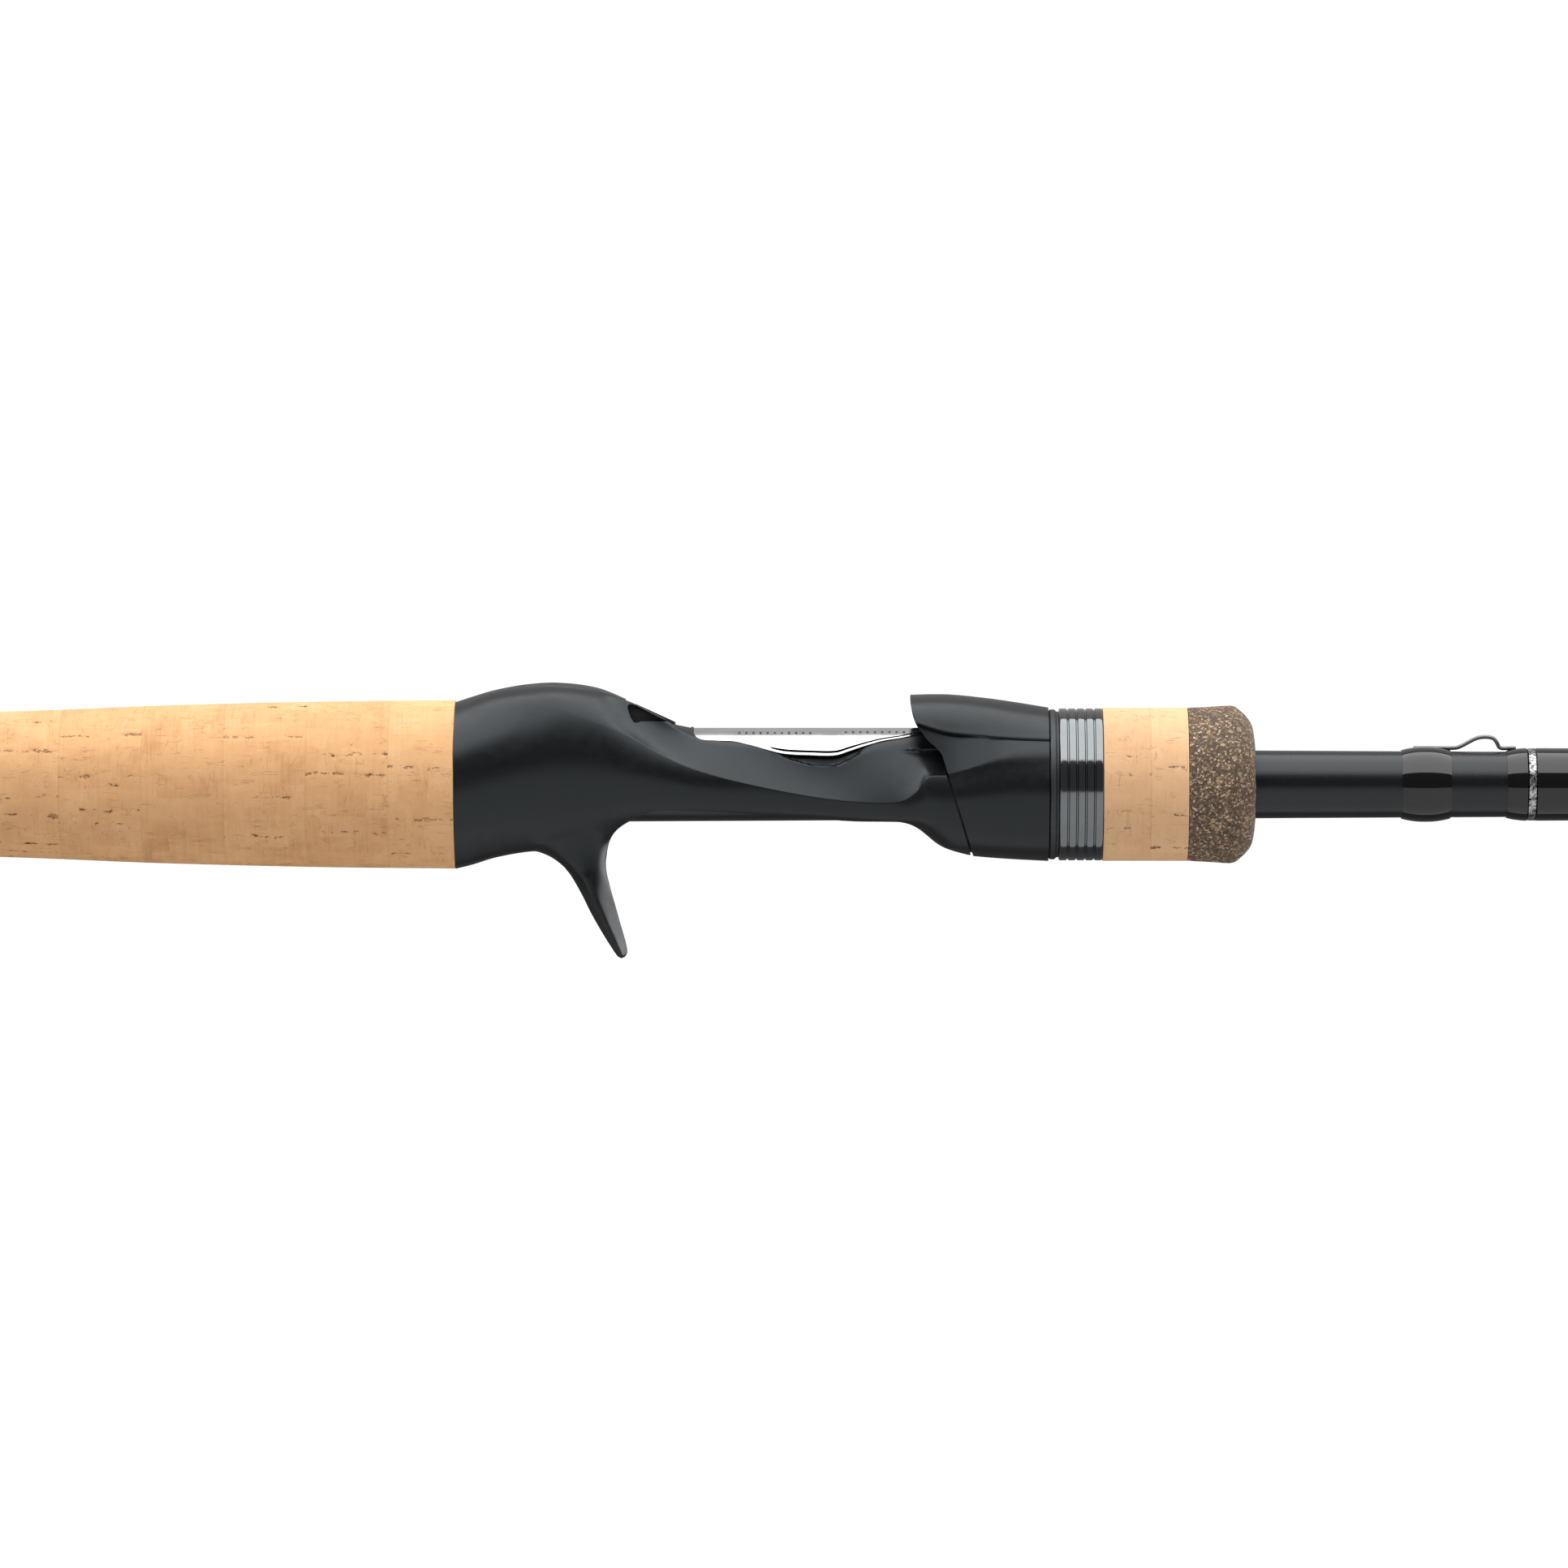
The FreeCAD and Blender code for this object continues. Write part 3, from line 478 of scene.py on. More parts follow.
def swept_tree():
    """Round wire along a curve."""
    g = Recipe("swept_wire", Radius="Float")
    ring = g.node("GeometryNodeCurvePrimitiveCircle", Resolution=20, Radius=g["Radius"])
    skin = g.node("GeometryNodeCurveToMesh", Curve=g["Geometry"], Profile_Curve=ring,
                  Fill_Caps=True)
    return g.close(skin)


SWEPT = swept_tree()
LATHE = lathe_tree()
PITTED = pitted_tree()
GRANULAR = granular_tree()
WINDING = winding_tree()


# ---- making pieces
def scene_object(name, data):
    obj = bpy.data.objects.new(name, data)
    bpy.context.scene.collection.objects.link(obj)
    return obj


def run_tree(data, tree, **values):
    """Runs a tree on a curve or mesh, its inputs set by identifier; returns a plain mesh."""
    obj = scene_object("blank_stock", data)
    mod = obj.modifiers.new(tree.name, "NODES")
    mod.node_group = tree
    for item in tree.interface.items_tree:
        if item.in_out == "INPUT" and item.name in values:
            mod[item.identifier] = values[item.name]
    mesh = settled_mesh(obj)
    bpy.data.objects.remove(obj)
    return mesh


def settled_mesh(obj):
    """The evaluated shape of an object as a plain mesh, its modifiers dropped."""
    graph = bpy.context.evaluated_depsgraph_get()
    mesh = bpy.data.meshes.new_from_object(obj.evaluated_get(graph), depsgraph=graph)
    obj.modifiers.clear()
    return mesh


def face_outward(mesh, weld=2e-7):
    """Welds points closer than the given metres and turns every face to the outside."""
    work = bmesh.new()
    work.from_mesh(mesh)
    bmesh.ops.remove_doubles(work, verts=work.verts, dist=weld)
    bmesh.ops.recalc_face_normals(work, faces=work.faces)
    if work.calc_volume(signed=True) < 0:
        bmesh.ops.reverse_faces(work, faces=work.faces)
    work.to_mesh(mesh)
    work.free()
    return mesh


def settle(name, mesh, finish, body, replaced, sharp=35.0):
    """Names a finished mesh, shades it, hangs it on its body and hides the nodes it replaces."""
    mesh.materials.clear()
    mesh.materials.append(finish)
    mesh.shade_smooth()
    mesh.set_sharp_from_angle(angle=math.radians(sharp))
    obj = scene_object(name, mesh)
    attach(obj, body)
    if replaced:
        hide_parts(*replaced)
    return obj


def straight_runs(places, closed=False):
    """Curve of straight runs through places given in metres."""
    data = bpy.data.curves.new("line", "CURVE")
    data.dimensions = "3D"
    path = data.splines.new("POLY")
    path.points.add(len(places) - 1)
    for point, place in zip(path.points, places):
        point.co = (*place, 1.0)
    path.use_cyclic_u = closed
    return data


def outline_curve(outline):
    """Closed outline of (x, r) corners, as a curve for the lathe."""
    return straight_runs([(r * MM - LATHE_CENTRE, -x * MM, 0.0) for x, r in outline], True)


def turned(name, outline, finish, body, replaced, segments=128, after=None, sharp=35.0):
    """A piece turned about the rod's axis; after is a second tree with its inputs."""
    mesh = face_outward(run_tree(outline_curve(outline), LATHE, Segments=segments,
                                 Finish=finish))
    if after:
        mesh = run_tree(mesh, after[0], Finish=finish, **after[1])
    return settle(name, mesh, finish, body, replaced, sharp)


def dressed(node, name, finish, sharp=32.0):
    """A node of the rod in its own shape, joined up and smoothly shaded."""
    mesh = face_outward(nodes[node].data.copy(), 1e-6)
    return settle(name, mesh, finish, "rod", [node], sharp)


def between(stations, x):
    """Straight-line value of (x, value) stations."""
    for (xa, va), (xb, vb) in zip(stations, stations[1:]):
        if x <= xb:
            return va + (vb - va) * (x - xa) / (xb - xa)
    return stations[-1][1]


def cubic(t, a, slope_a, b, slope_b):
    """Value at t of the cubic from a to b with the given slopes at its ends."""
    return ((2 * t**3 - 3 * t**2 + 1) * a + (t**3 - 2 * t**2 + t) * slope_a
            + (3 * t**2 - 2 * t**3) * b + (t**3 - t**2) * slope_b)


def faired(stations, x):
    """Smooth row of a station table at x, for every column after the first."""
    count = len(stations)
    i = max(0, min(count - 2, sum(1 for s in stations if s[0] <= x) - 1))
    a, b = stations[i], stations[i + 1]
    before, after = stations[max(i - 1, 0)], stations[min(i + 2, count - 1)]
    span = b[0] - a[0]
    t = (x - a[0]) / span
    row = []
    for k in range(1, len(a)):
        ma = (b[k] - before[k]) / (b[0] - before[0]) * span
        mb = (after[k] - a[k]) / (after[0] - a[0]) * span
        row.append(cubic(t, a[k], ma, b[k], mb))
    return row


def steps(a, b, count):
    return [a + (b - a) * i / count for i in range(count + 1)]


def ease(t):
    t = max(0.0, min(1.0, t))
    return t * t * (3 - 2 * t)


def through(a, m, b, count):
    """Points on the smooth curve from a through m to b."""
    la, lb = math.dist(a, m), math.dist(m, b)
    tm = la / (la + lb)
    line = []
    for t in steps(0.0, 1.0, count):
        wa = (t - tm) * (t - 1) / tm
        wm = t * (t - 1) / (tm * (tm - 1))
        wb = t * (t - tm) / (1 - tm)
        line.append(tuple(wa * a[k] + wm * m[k] + wb * b[k] for k in (0, 1)))
    return line


def rolled_edge(first, second, size):
    """Joins two polylines that meet at an edge, rounding it over the given size."""
    def cut_back(line, distance):
        line = list(line)
        while len(line) > 2 and math.dist(line[-1], line[-2]) < distance:
            distance -= math.dist(line[-1], line[-2])
            line.pop()
        length = math.dist(line[-1], line[-2])
        t = 1 - distance / length
        line[-1] = tuple(line[-2][k] + (line[-1][k] - line[-2][k]) * t for k in (0, 1))
        return line

    corner = first[-1]
    head = resampled(cut_back(first, size), len(first) - 1)
    tail = resampled(cut_back(second[::-1], size), len(second) - 1)[::-1]
    a, b = head[-1], tail[0]
    roll = []
    for t in (0.25, 0.5, 0.75):
        roll.append(tuple((1 - t)**2 * a[k] + 2 * t * (1 - t) * corner[k] + t**2 * b[k]
                          for k in (0, 1)))
    return head + roll + tail


def resampled(line, count):
    """The same polyline with evenly spaced points."""
    lengths = [0.0]
    for a, b in zip(line, line[1:]):
        lengths.append(lengths[-1] + math.dist(a, b))
    spaced = []
    i = 0
    for s in steps(0.0, lengths[-1], count):
        while i < len(line) - 2 and lengths[i + 1] < s:
            i += 1
        t = (s - lengths[i]) / max(lengths[i + 1] - lengths[i], 1e-9)
        spaced.append(tuple(line[i][k] + (line[i + 1][k] - line[i][k]) * t for k in (0, 1)))
    return spaced


def smooth_chain(points, count):
    """Even points on a smooth line through all the given ones."""
    line = []
    for i in range(len(points) - 1):
        before, after = points[max(i - 1, 0)], points[min(i + 2, len(points) - 1)]
        a, b = points[i], points[i + 1]
        la, lb, lc = (math.dist(p, q)**0.5 or 1e-6 for p, q in ((before, a), (a, b), (b, after)))
        for t in steps(0.0, 1.0, 12)[:-1]:
            p = []
            for k in (0, 1):
                ma = (b[k] - a[k]) if before == a else \
                    ((a[k] - before[k]) / la - (b[k] - before[k]) / (la + lb)
                     + (b[k] - a[k]) / lb) * lb
                mb = (b[k] - a[k]) if after == b else \
                    ((b[k] - a[k]) / lb - (after[k] - a[k]) / (lb + lc)
                     + (after[k] - b[k]) / lc) * lb
                p.append(cubic(t, a[k], ma, b[k], mb))
            line.append(tuple(p))
    return resampled(line + [points[-1]], count)


def skinned(rows):
    """Closed mesh through rings of points, its ends filled."""
    count = len(rows[0])
    verts = [tuple(c * MM for c in p) for row in rows for p in row]
    faces = [tuple(range(count))]
    for r in range(len(rows) - 1):
        for c in range(count):
            d = (c + 1) % count
            faces.append((r * count + c, r * count + d, (r + 1) * count + d,
                          (r + 1) * count + c))
    last = (len(rows) - 1) * count
    faces.append(tuple(last + c for c in reversed(range(count))))
    mesh = bpy.data.meshes.new("skin")
    mesh.from_pydata(verts, [], faces)
    return face_outward(mesh)


def seat_section(x, half):
    """Ring of points from the half section given from top to bottom, at x on the seat."""
    left = [(SEAT + x, -y, z) for y, z in half]
    right = [(SEAT + x, y, z) for y, z in reversed(half[1:-1])]
    return left + right


def prism(outline, half_width):
    """Block across the rod from a closed (x, z) side outline on the seat."""
    return skinned([[(SEAT + x, y, z) for x, z in outline] for y in (-half_width, half_width)])


def bar_along(x0, x1, ring):
    """Straight bar between two places on the seat, from its (y, z) section."""
    return skinned([[(SEAT + x, y, z) for y, z in ring] for x in (x0, x1)])


def round_bar(x0, x1, r, segments=96, height=0.0):
    """Solid cylinder along the rod, its centre at a height above the rod's axis."""
    return bar_along(x0, x1, [(r * math.cos(a), height + r * math.sin(a))
                              for a in steps(0, 2 * math.pi, segments)[:-1]])


def flat_sided(x0, x1, half):
    """Slab whose two flats keep the hood from turning on the barrel."""
    return bar_along(x0, x1, [(-half, -10), (half, -10), (half, 10), (-half, 10)])


def combined(mesh, *changes):
    """Cuts, adds or keeps the shared part of one closed mesh after another."""
    obj = scene_object("stock", mesh)
    for operation, other in changes:
        tool = scene_object("tool", other)
        mod = obj.modifiers.new("cut", "BOOLEAN")
        mod.operation = operation
        mod.solver = "EXACT"
        mod.object = tool
        obj.data = settled_mesh(obj)
        bpy.data.objects.remove(tool)
    mesh = obj.data
    bpy.data.objects.remove(obj)
    return mesh


def cut(mesh, *tools):
    return combined(mesh, *(("DIFFERENCE", tool) for tool in tools))


# ---- blank and butt
BLANK = [(5.0, 6.95), (230.0, 5.90), (402.0, 5.03), (700.0, 3.95), (1100.0, 2.85),
         (1500.0, 1.85), (1977.0, 0.90)]
WALL = [(5.0, 1.3), (230.0, 1.2), (402.0, 1.1), (700.0, 0.95), (1100.0, 0.8), (1500.0, 0.6),
        (1977.0, 0.4)]
BUTT_R = 12.8
BUTT_FILLET = 3.5


def blank_r(x):
    return between(BLANK, x)


lengths = steps(5.0, 1977.0, 116)
tube = [(x, blank_r(x)) for x in lengths]
tube += [(x, blank_r(x) - between(WALL, x)) for x in reversed(lengths[::4])]
turned("blank_tube", tube, blank_lacquer, "rod", ["blank"], 96)

cap = [(0.0, 0.0), (0.0, 5.2), (0.35, 5.5), (0.35, 6.6), (0.0, 6.9), (0.0, 9.3)]
cap += [(BUTT_FILLET * (1 - math.cos(a)), 9.3 + BUTT_FILLET * math.sin(a))
        for a in steps(0.1, math.pi / 2, 10)]
for groove in (6.2, 7.8, 9.4, 11.0):
    cap += [(groove - 0.35, BUTT_R), (groove - 0.2, BUTT_R - 0.22),
            (groove + 0.2, BUTT_R - 0.22), (groove + 0.35, BUTT_R)]
cap += [(14.0, BUTT_R), (14.0, blank_r(14.0)), (5.0, blank_r(5.0)), (5.0, 0.0)]
turned("butt_cap_rubber", cap, butt_rubber, "rod", ["butt_cap"])
ring = [(14.0, blank_r(14)), (14.0, 12.35), (14.1, 12.5), (14.3, 12.6), (15.7, 12.6),
        (15.9, 12.5), (16.0, 12.35), (16.0, blank_r(16))]
turned("butt_trim", ring, trim_metal, "rod", ["butt_trim_ring"])

# ---- rear grip
GRIP = [(16.0, 12.4), (45.0, 12.2), (85.0, 11.2), (125.0, 10.8), (159.0, 11.3), (184.0, 12.25),
        (208.0, 12.85), (230.0, 13.1)]
places = steps(16.3, 130.0, 130) + steps(130.5, 229.85, 270)
grip = [(16.0, 12.2)] + [(x, faired(GRIP, x)[0]) for x in places] + [(SEAT, 12.95)]
grip += [(x, blank_r(x)) for x in (SEAT, 120.0, 16.0)]
turned("rear_cork_grip", grip, rear_cork, "rod", ["rear_cork_rings"], 230,
       after=(PITTED, {"Joint": REAR_JOINT, "Depth": 0.16}))

# ---- reel seat body
# along seat, top, crown edge y z, hollow y z, ridge y z, side y z, lower edge y z, bottom
BODY = [
    (0.0, 12.8, 2.8, 12.5, 5.0, 11.85, 6.9, 10.95, 12.9, 0.0, 3.6, -12.55, -13.1),
    (2.6, 13.65, 2.9, 13.35, 5.1, 12.75, 7.2, 11.8, 12.75, 0.5, 3.4, -11.95, -12.45),
    (6.0, 14.65, 3.1, 14.4, 5.6, 13.75, 7.9, 12.55, 12.55, 1.0, 3.2, -11.0, -11.4),
    (11.0, 15.55, 3.5, 15.2, 6.5, 14.5, 9.2, 13.05, 12.3, 1.5, 3.0, -10.2, -10.5),
    (16.0, 15.8, 4.2, 15.25, 7.7, 14.5, 10.4, 12.5, 12.1, 1.5, 3.0, -9.8, -10.1),
    (22.0, 15.0, 5.3, 14.5, 8.5, 12.9, 11.1, 10.05, 11.8, 0.8, 3.5, -8.6, -9.2),
    (27.0, 13.0, 6.3, 12.85, 8.2, 9.85, 10.85, 7.55, 11.4, 0.0, 4.0, -6.9, -7.6),
    (32.0, 10.7, 6.7, 10.45, 8.05, 6.9, 10.35, 4.6, 10.8, 0.0, 4.6, -5.8, -6.8),
    (37.5, 8.8, 6.0, 7.2, 7.9, 4.8, 10.1, 2.2, 10.1, -1.4, 5.4, -5.3, -6.6),
    (46.0, 8.75, 6.5, 5.9, 7.9, 3.3, 10.0, -0.1, 9.3, -2.8, 5.7, -5.3, -6.6),
    (57.0, 8.75, 7.0, 5.2, 7.9, 2.1, 9.7, -2.2, 8.8, -4.1, 5.6, -5.7, -6.7),
    (66.0, 8.75, 6.3, 6.1, 7.7, 2.9, 9.8, -3.0, 9.0, -4.7, 5.2, -6.4, -6.9),
    (69.5, 8.75, 5.8, 6.6, 7.6, 3.4, 10.1, -2.5, 9.7, -4.5, 5.1, -6.5, -7.0),
    (71.6, 8.75, 5.6, 6.8, 7.7, 3.4, 10.5, -0.9, 10.3, -4.0, 5.2, -6.9, -7.35),
    (73.0, 8.75, 5.5, 6.8, 7.7, 3.3, 10.7, 1.0, 10.7, -3.5, 5.4, -7.7, -8.25),
    (76.0, 8.75, 5.4, 6.8, 7.8, 3.0, 10.9, 1.35, 11.2, -3.0, 5.8, -9.5, -10.2),
    (78.5, 8.75, 5.4, 6.8, 7.9, 2.9, 11.0, 1.5, 11.3, -3.0, 6.0, -9.9, -10.9),
    (81.0, 8.75, 5.4, 6.8, 7.9, 2.8, 11.0, 1.6, 11.4, -3.0, 6.0, -9.9, -10.95),
]
# trigger: rear point, front point of each section, half width
TRIGGER = [
    (0.0, 9.8, -9.6, 26.8, -5.2, 6.8), (1.0, 12.9, -10.6, 25.4, -7.2, 5.6),
    (2.0, 15.1, -11.6, 24.0, -9.3, 4.8), (3.0, 17.4, -13.6, 23.3, -12.2, 4.3),
    (4.0, 19.4, -16.9, 23.8, -15.4, 4.1), (5.0, 20.9, -19.9, 24.6, -18.3, 3.9),
    (6.0, 22.6, -22.9, 25.5, -21.5, 3.5), (7.0, 24.1, -25.3, 26.3, -24.3, 2.9),
    (8.0, 25.0, -26.6, 26.6, -26.0, 1.9), (9.0, 25.6, -27.0, 26.2, -26.8, 0.7),
]
# side outlines: the plate's recess, and the opening in the side of the rear pocket
PLATE_OUTLINE = [
    (36.9, 8.0), (37.3, 7.4), (38.2, 6.95), (40.2, 6.8), (43.2, 6.65), (45.8, 6.1),
    (48.3, 5.4), (50.8, 4.8), (55.0, 4.55), (59.0, 4.55), (60.9, 5.15), (62.8, 5.8),
    (66.0, 6.7), (69.0, 7.2), (71.6, 7.7), (75.5, 8.0), (75.5, 12.0), (36.9, 12.0),
]
POCKET_OUTLINE = [
    (26.75, 11.8), (26.85, 12.3), (27.15, 12.45), (28.0, 12.2), (30.0, 11.22), (32.2, 10.1),
    (33.2, 9.75), (28.9, 9.72), (28.2, 9.5), (27.7, 9.6), (27.2, 10.4),
]
# the open space under the neck, from the trigger's front to the hood
WINDOW_OUTLINE = [
    (23.3, -13.0), (23.35, -11.5), (23.5, -10.0), (23.95, -8.45), (24.7, -7.3), (25.7, -6.43),
    (27.0, -5.67), (28.6, -4.95), (30.0, -4.35), (31.6, -3.95), (36.0, -4.1), (40.8, -4.3),
    (48.3, -4.75), (55.7, -5.3), (61.5, -5.72), (67.0, -5.8), (69.0, -5.87), (70.5, -6.25),
    (71.8, -6.93), (73.0, -7.85), (74.3, -8.95), (75.5, -9.7), (76.9, -10.25), (78.3, -10.65),
    (79.6, -10.98), (80.5, -11.2), (80.5, -13.0),
]
LIP_R = 10.55
UNDERCUT = (49.6, 65.4)
UNDERCUT_DEEP = 0.62
NECK_GROOVE = (68.4, 76.5, 4.95, 0.5, 0.32)  # start, end, height, half width, depth
BARREL_START, BARREL_END = 70.0, 112.6
BARREL_R = 8.0
BARREL_FLAT = 6.9
CHAMFER = 0.6
THREAD_START, THREAD_END = 84.0, 111.8
THREAD_PITCH = 1.5
ROOT_R = 7.45
REAR_BORE_R = 8.4
MID_BORE_R = 5.98
FRONT_BORE_R = 6.35
POCKET_HALF = 5.6


def undercut(x, flank):
    """The flank with a crescent cut in under the foot plate, its lower edge crisp."""
    u = (x - UNDERCUT[0]) / (UNDERCUT[1] - UNDERCUT[0])
    top, end = flank[0][1], flank[-1][1]
    plain = top + 0.35 * (end - top)
    crescent = between(PLATE_OUTLINE, x) - 0.1 - 1.5 * math.sin(math.pi * max(0.0, min(1.0, u)))
    near = ease((x - UNDERCUT[0] + 4) / 4) * ease((UNDERCUT[1] + 4 - x) / 4)
    level = plain + near * (min(top - 0.3, crescent) - plain)
    deep = UNDERCUT_DEEP * ease(4 * u) * ease(4 - 4 * u)
    falling = [(-z, y) for y, z in flank]
    edge = (between(falling, -level), level)
    ledge = (between(falling, 0.12 - level), level - 0.12)
    wall = resampled([p for p in flank if p[1] > level + 0.05] + [edge], 16)
    wall = [(y - deep * ease((level + 2.4 - z) / 1.2), z) for y, z in wall]
    return wall + resampled([ledge] + [p for p in flank if p[1] < level - 0.17], 22)


def body_half(x):
    """Half section of the seat from crown to keel, with its ridge rolled over."""
    row = faired(BODY, x)
    crown, hollow, ridge, side, low = zip(row[1:11:2], row[2:11:2])
    roof = through((-crown[0], crown[1]), (0.0, row[0]), crown, 20)[10:]
    flank = undercut(x, through(crown, hollow, ridge, 60))
    x0, x1, height, half, depth = NECK_GROOVE
    reach = depth * ease((x - x0) / 3.0) * ease((x1 - x) / 3.0)
    flank = [(y - reach * ease((half - abs(z - height)) / (0.6 * half)), z) for y, z in flank]
    belly = through(ridge, side, low, 20)
    square = 1.0 - ease((x - 16.0) / 14.0)
    for i, (y, z) in enumerate(belly):
        t = (z - side[1]) / (ridge[1] - side[1])
        if 0 < t < 1:
            full = side[0] - (side[0] - ridge[0]) * t**2.7
            belly[i] = (y + (max(full, y) - y) * square, z)
    keel = through(low, (0.0, row[-1]), (-low[0], low[1]), 16)[:9]
    soft = 0.12 + 1.1 * ease((30.0 - x) / 14.0)
    half = roof[:-1] + rolled_edge(flank, belly, soft)[:-1] + keel
    crest = len(roof) - 1
    for _ in range(6):
        half[crest - 4:crest + 5] = [
            tuple((half[i - 1][k] + 2 * half[i][k] + half[i + 1][k]) / 4 for k in (0, 1))
            for i in range(crest - 4, crest + 5)]
    return half


def trigger_ring(t):
    """Section of the trigger: round at its root, wedge-shaped toward its tip."""
    x0, z0, x1, z1, half = faired(TRIGGER, t)
    ring = []
    for a in steps(0.0, 2 * math.pi, 56)[:-1]:
        along = 0.5 - 0.5 * math.cos(a)
        wedge = half * math.copysign(min(along * 3.4, (1.08 - along) * 1.75, 1.0), math.sin(a))
        wide = half * math.sin(a)
        wide += (wedge * abs(math.sin(a))**0.25 - wide) * ease((t - 2.5) / 2.5)
        ring.append((SEAT + x0 + (x1 - x0) * along, wide, z0 + (z1 - z0) * along))
    return ring


def slit_lip(grow):
    """Rim that stands out along the slit where body and hood meet; grow widens it."""
    front = 1.0 + grow
    slab = prism([(75.7 - grow, 1.0 + grow), (76.16 + front, 1.0 + grow), (79.9 + front, -11.0),
                  (80.2 + front, -12.0), (79.4, -12.0), (79.2 - grow, -11.0)], 16)
    return combined(slab, ("INTERSECT", round_bar(70, 90, LIP_R + 0.8 * grow, 160)))


def softened(mesh, within, strength, passes):
    """Smooths the part of a mesh that lies within a region, to blend two shapes."""
    work = bmesh.new()
    work.from_mesh(mesh)
    bmesh.ops.triangulate(work, faces=[f for f in work.faces if len(f.verts) > 4])
    near = [v for v in work.verts if within(v.co / MM)]
    for _ in range(passes):
        bmesh.ops.smooth_vert(work, verts=near, factor=strength, use_axis_x=True,
                              use_axis_y=True, use_axis_z=True)
    work.to_mesh(mesh)
    work.free()
    return mesh


def at_trigger_root(p):
    """Whether a point lies where the trigger grows out of the body."""
    x, y, z = p.x - SEAT, abs(p.y), p.z
    return 7.5 < x < 26.0 and y < 8.0 and -12.0 - 0.25 * (x - 12) < z < -5.2


barrel = [(BARREL_START, 0.0), (BARREL_START, BARREL_R)]
crest = THREAD_START
while crest + THREAD_PITCH < THREAD_END:
    barrel += [(crest, BARREL_R), (crest + 0.45 * THREAD_PITCH, ROOT_R),
               (crest + 0.6 * THREAD_PITCH, ROOT_R)]
    crest += THREAD_PITCH
barrel += [(crest, BARREL_R), (BARREL_END - CHAMFER, BARREL_R), (BARREL_END, BARREL_R - CHAMFER),
           (BARREL_END, 0.0)]
barrel = face_outward(run_tree(outline_curve([(SEAT + x, r) for x, r in barrel]), LATHE,
                               Segments=96, Finish=seat_resin))
barrel = combined(barrel, ("INTERSECT", flat_sided(60, 120, BARREL_FLAT)))

stations = steps(0.0, 24.0, 60) + steps(24.4, 67.6, 109) + steps(67.8, 74.4, 34)
stations += steps(74.7, 81.0, 22)
body = skinned([seat_section(x, body_half(x)) for x in stations])
trigger = skinned([trigger_ring(t) for t in steps(0.0, 9.0, 90)])
front = prism([(76.0, 1.5), (79.9, -11.0), (80.5, -14), (90, -14), (90, 14), (76.0, 14)], 16)
PLATE_EDGE = smooth_chain(PLATE_OUTLINE[:16], 140)
recess = cut(prism(PLATE_EDGE + PLATE_OUTLINE[16:], 12),
             round_bar(30, 80, SADDLE_R - PLATE_THICK, 128))
pocket = prism([(14.5, 9.3), (34.0, 9.3), (36.5, 8.8), (36.5, 18.0), (27.0, 18.0),
                (26.2, 12.7), (14.5, 12.3)], POCKET_HALF)
window = smooth_chain(WINDOW_OUTLINE[1:-1], 160) + [WINDOW_OUTLINE[-1], WINDOW_OUTLINE[0]]
body = softened(combined(body, ("UNION", trigger)), at_trigger_root, 0.5, 14)
body = combined(cut(body, front), ("UNION", slit_lip(0.0)), ("UNION", barrel))
body = cut(body, recess, pocket, prism(POCKET_OUTLINE, 13), prism(window, 12),
           round_bar(-1, 19, REAR_BORE_R), round_bar(15, 75, MID_BORE_R),
           round_bar(71.5, 120, FRONT_BORE_R))
settle("reel_seat_body", body, seat_resin, "rod", ["seat_body"], 26.0)

# ---- foot plate
RIM = 0.42


def plate_edge(x):
    """Angle up from the rod's side at which the plate's edge lies."""
    return math.asin(min(between(PLATE_EDGE, x), SADDLE_R - 0.02) / SADDLE_R)


def plate_ring(x):
    """Section of the plate: a raised rim with a groove inside it along each lower edge."""
    start = plate_edge(x)
    grooved = ease((x - 47.5) / 3.0) * ease((75.5 - x) / 2.0)
    span = math.pi - 2 * start
    half = [(0.0, -0.08), (0.06, 0.0), (RIM - 0.06, 0.0), (RIM, -0.03), (RIM + 0.03, -0.25),
            (RIM + 0.36, -0.25), (RIM + 0.39, -0.03), (RIM + 0.45, 0.0)]
    outer = []
    for s, drop in half:
        outer.append((start + min(s, 0.49 * span * SADDLE_R) / SADDLE_R,
                      SADDLE_R + (drop * grooved if s else drop)))
    inside = outer[-1][0]
    middle = [(a, SADDLE_R) for a in steps(inside, math.pi - inside, 40)[1:-1]]
    outer = outer + middle + [(math.pi - a, r) for a, r in reversed(outer)]
    inner_r = SADDLE_R - PLATE_THICK
    under = [(a, inner_r) for a in steps(math.pi - start, start, 30)]
    return [(SEAT + x, -r * math.cos(a), r * math.sin(a)) for a, r in outer + under]


plate = skinned([plate_ring(x) for x in steps(36.95, 38.4, 14) + steps(38.6, 75.5, 150)])
settle("reel_foot_plate", plate, plate_metal, "rod", ["foot_plate"], 28.0)

MARK_PITCH = 1.05
MARK_SIZE = (0.36, 0.8, 0.06)


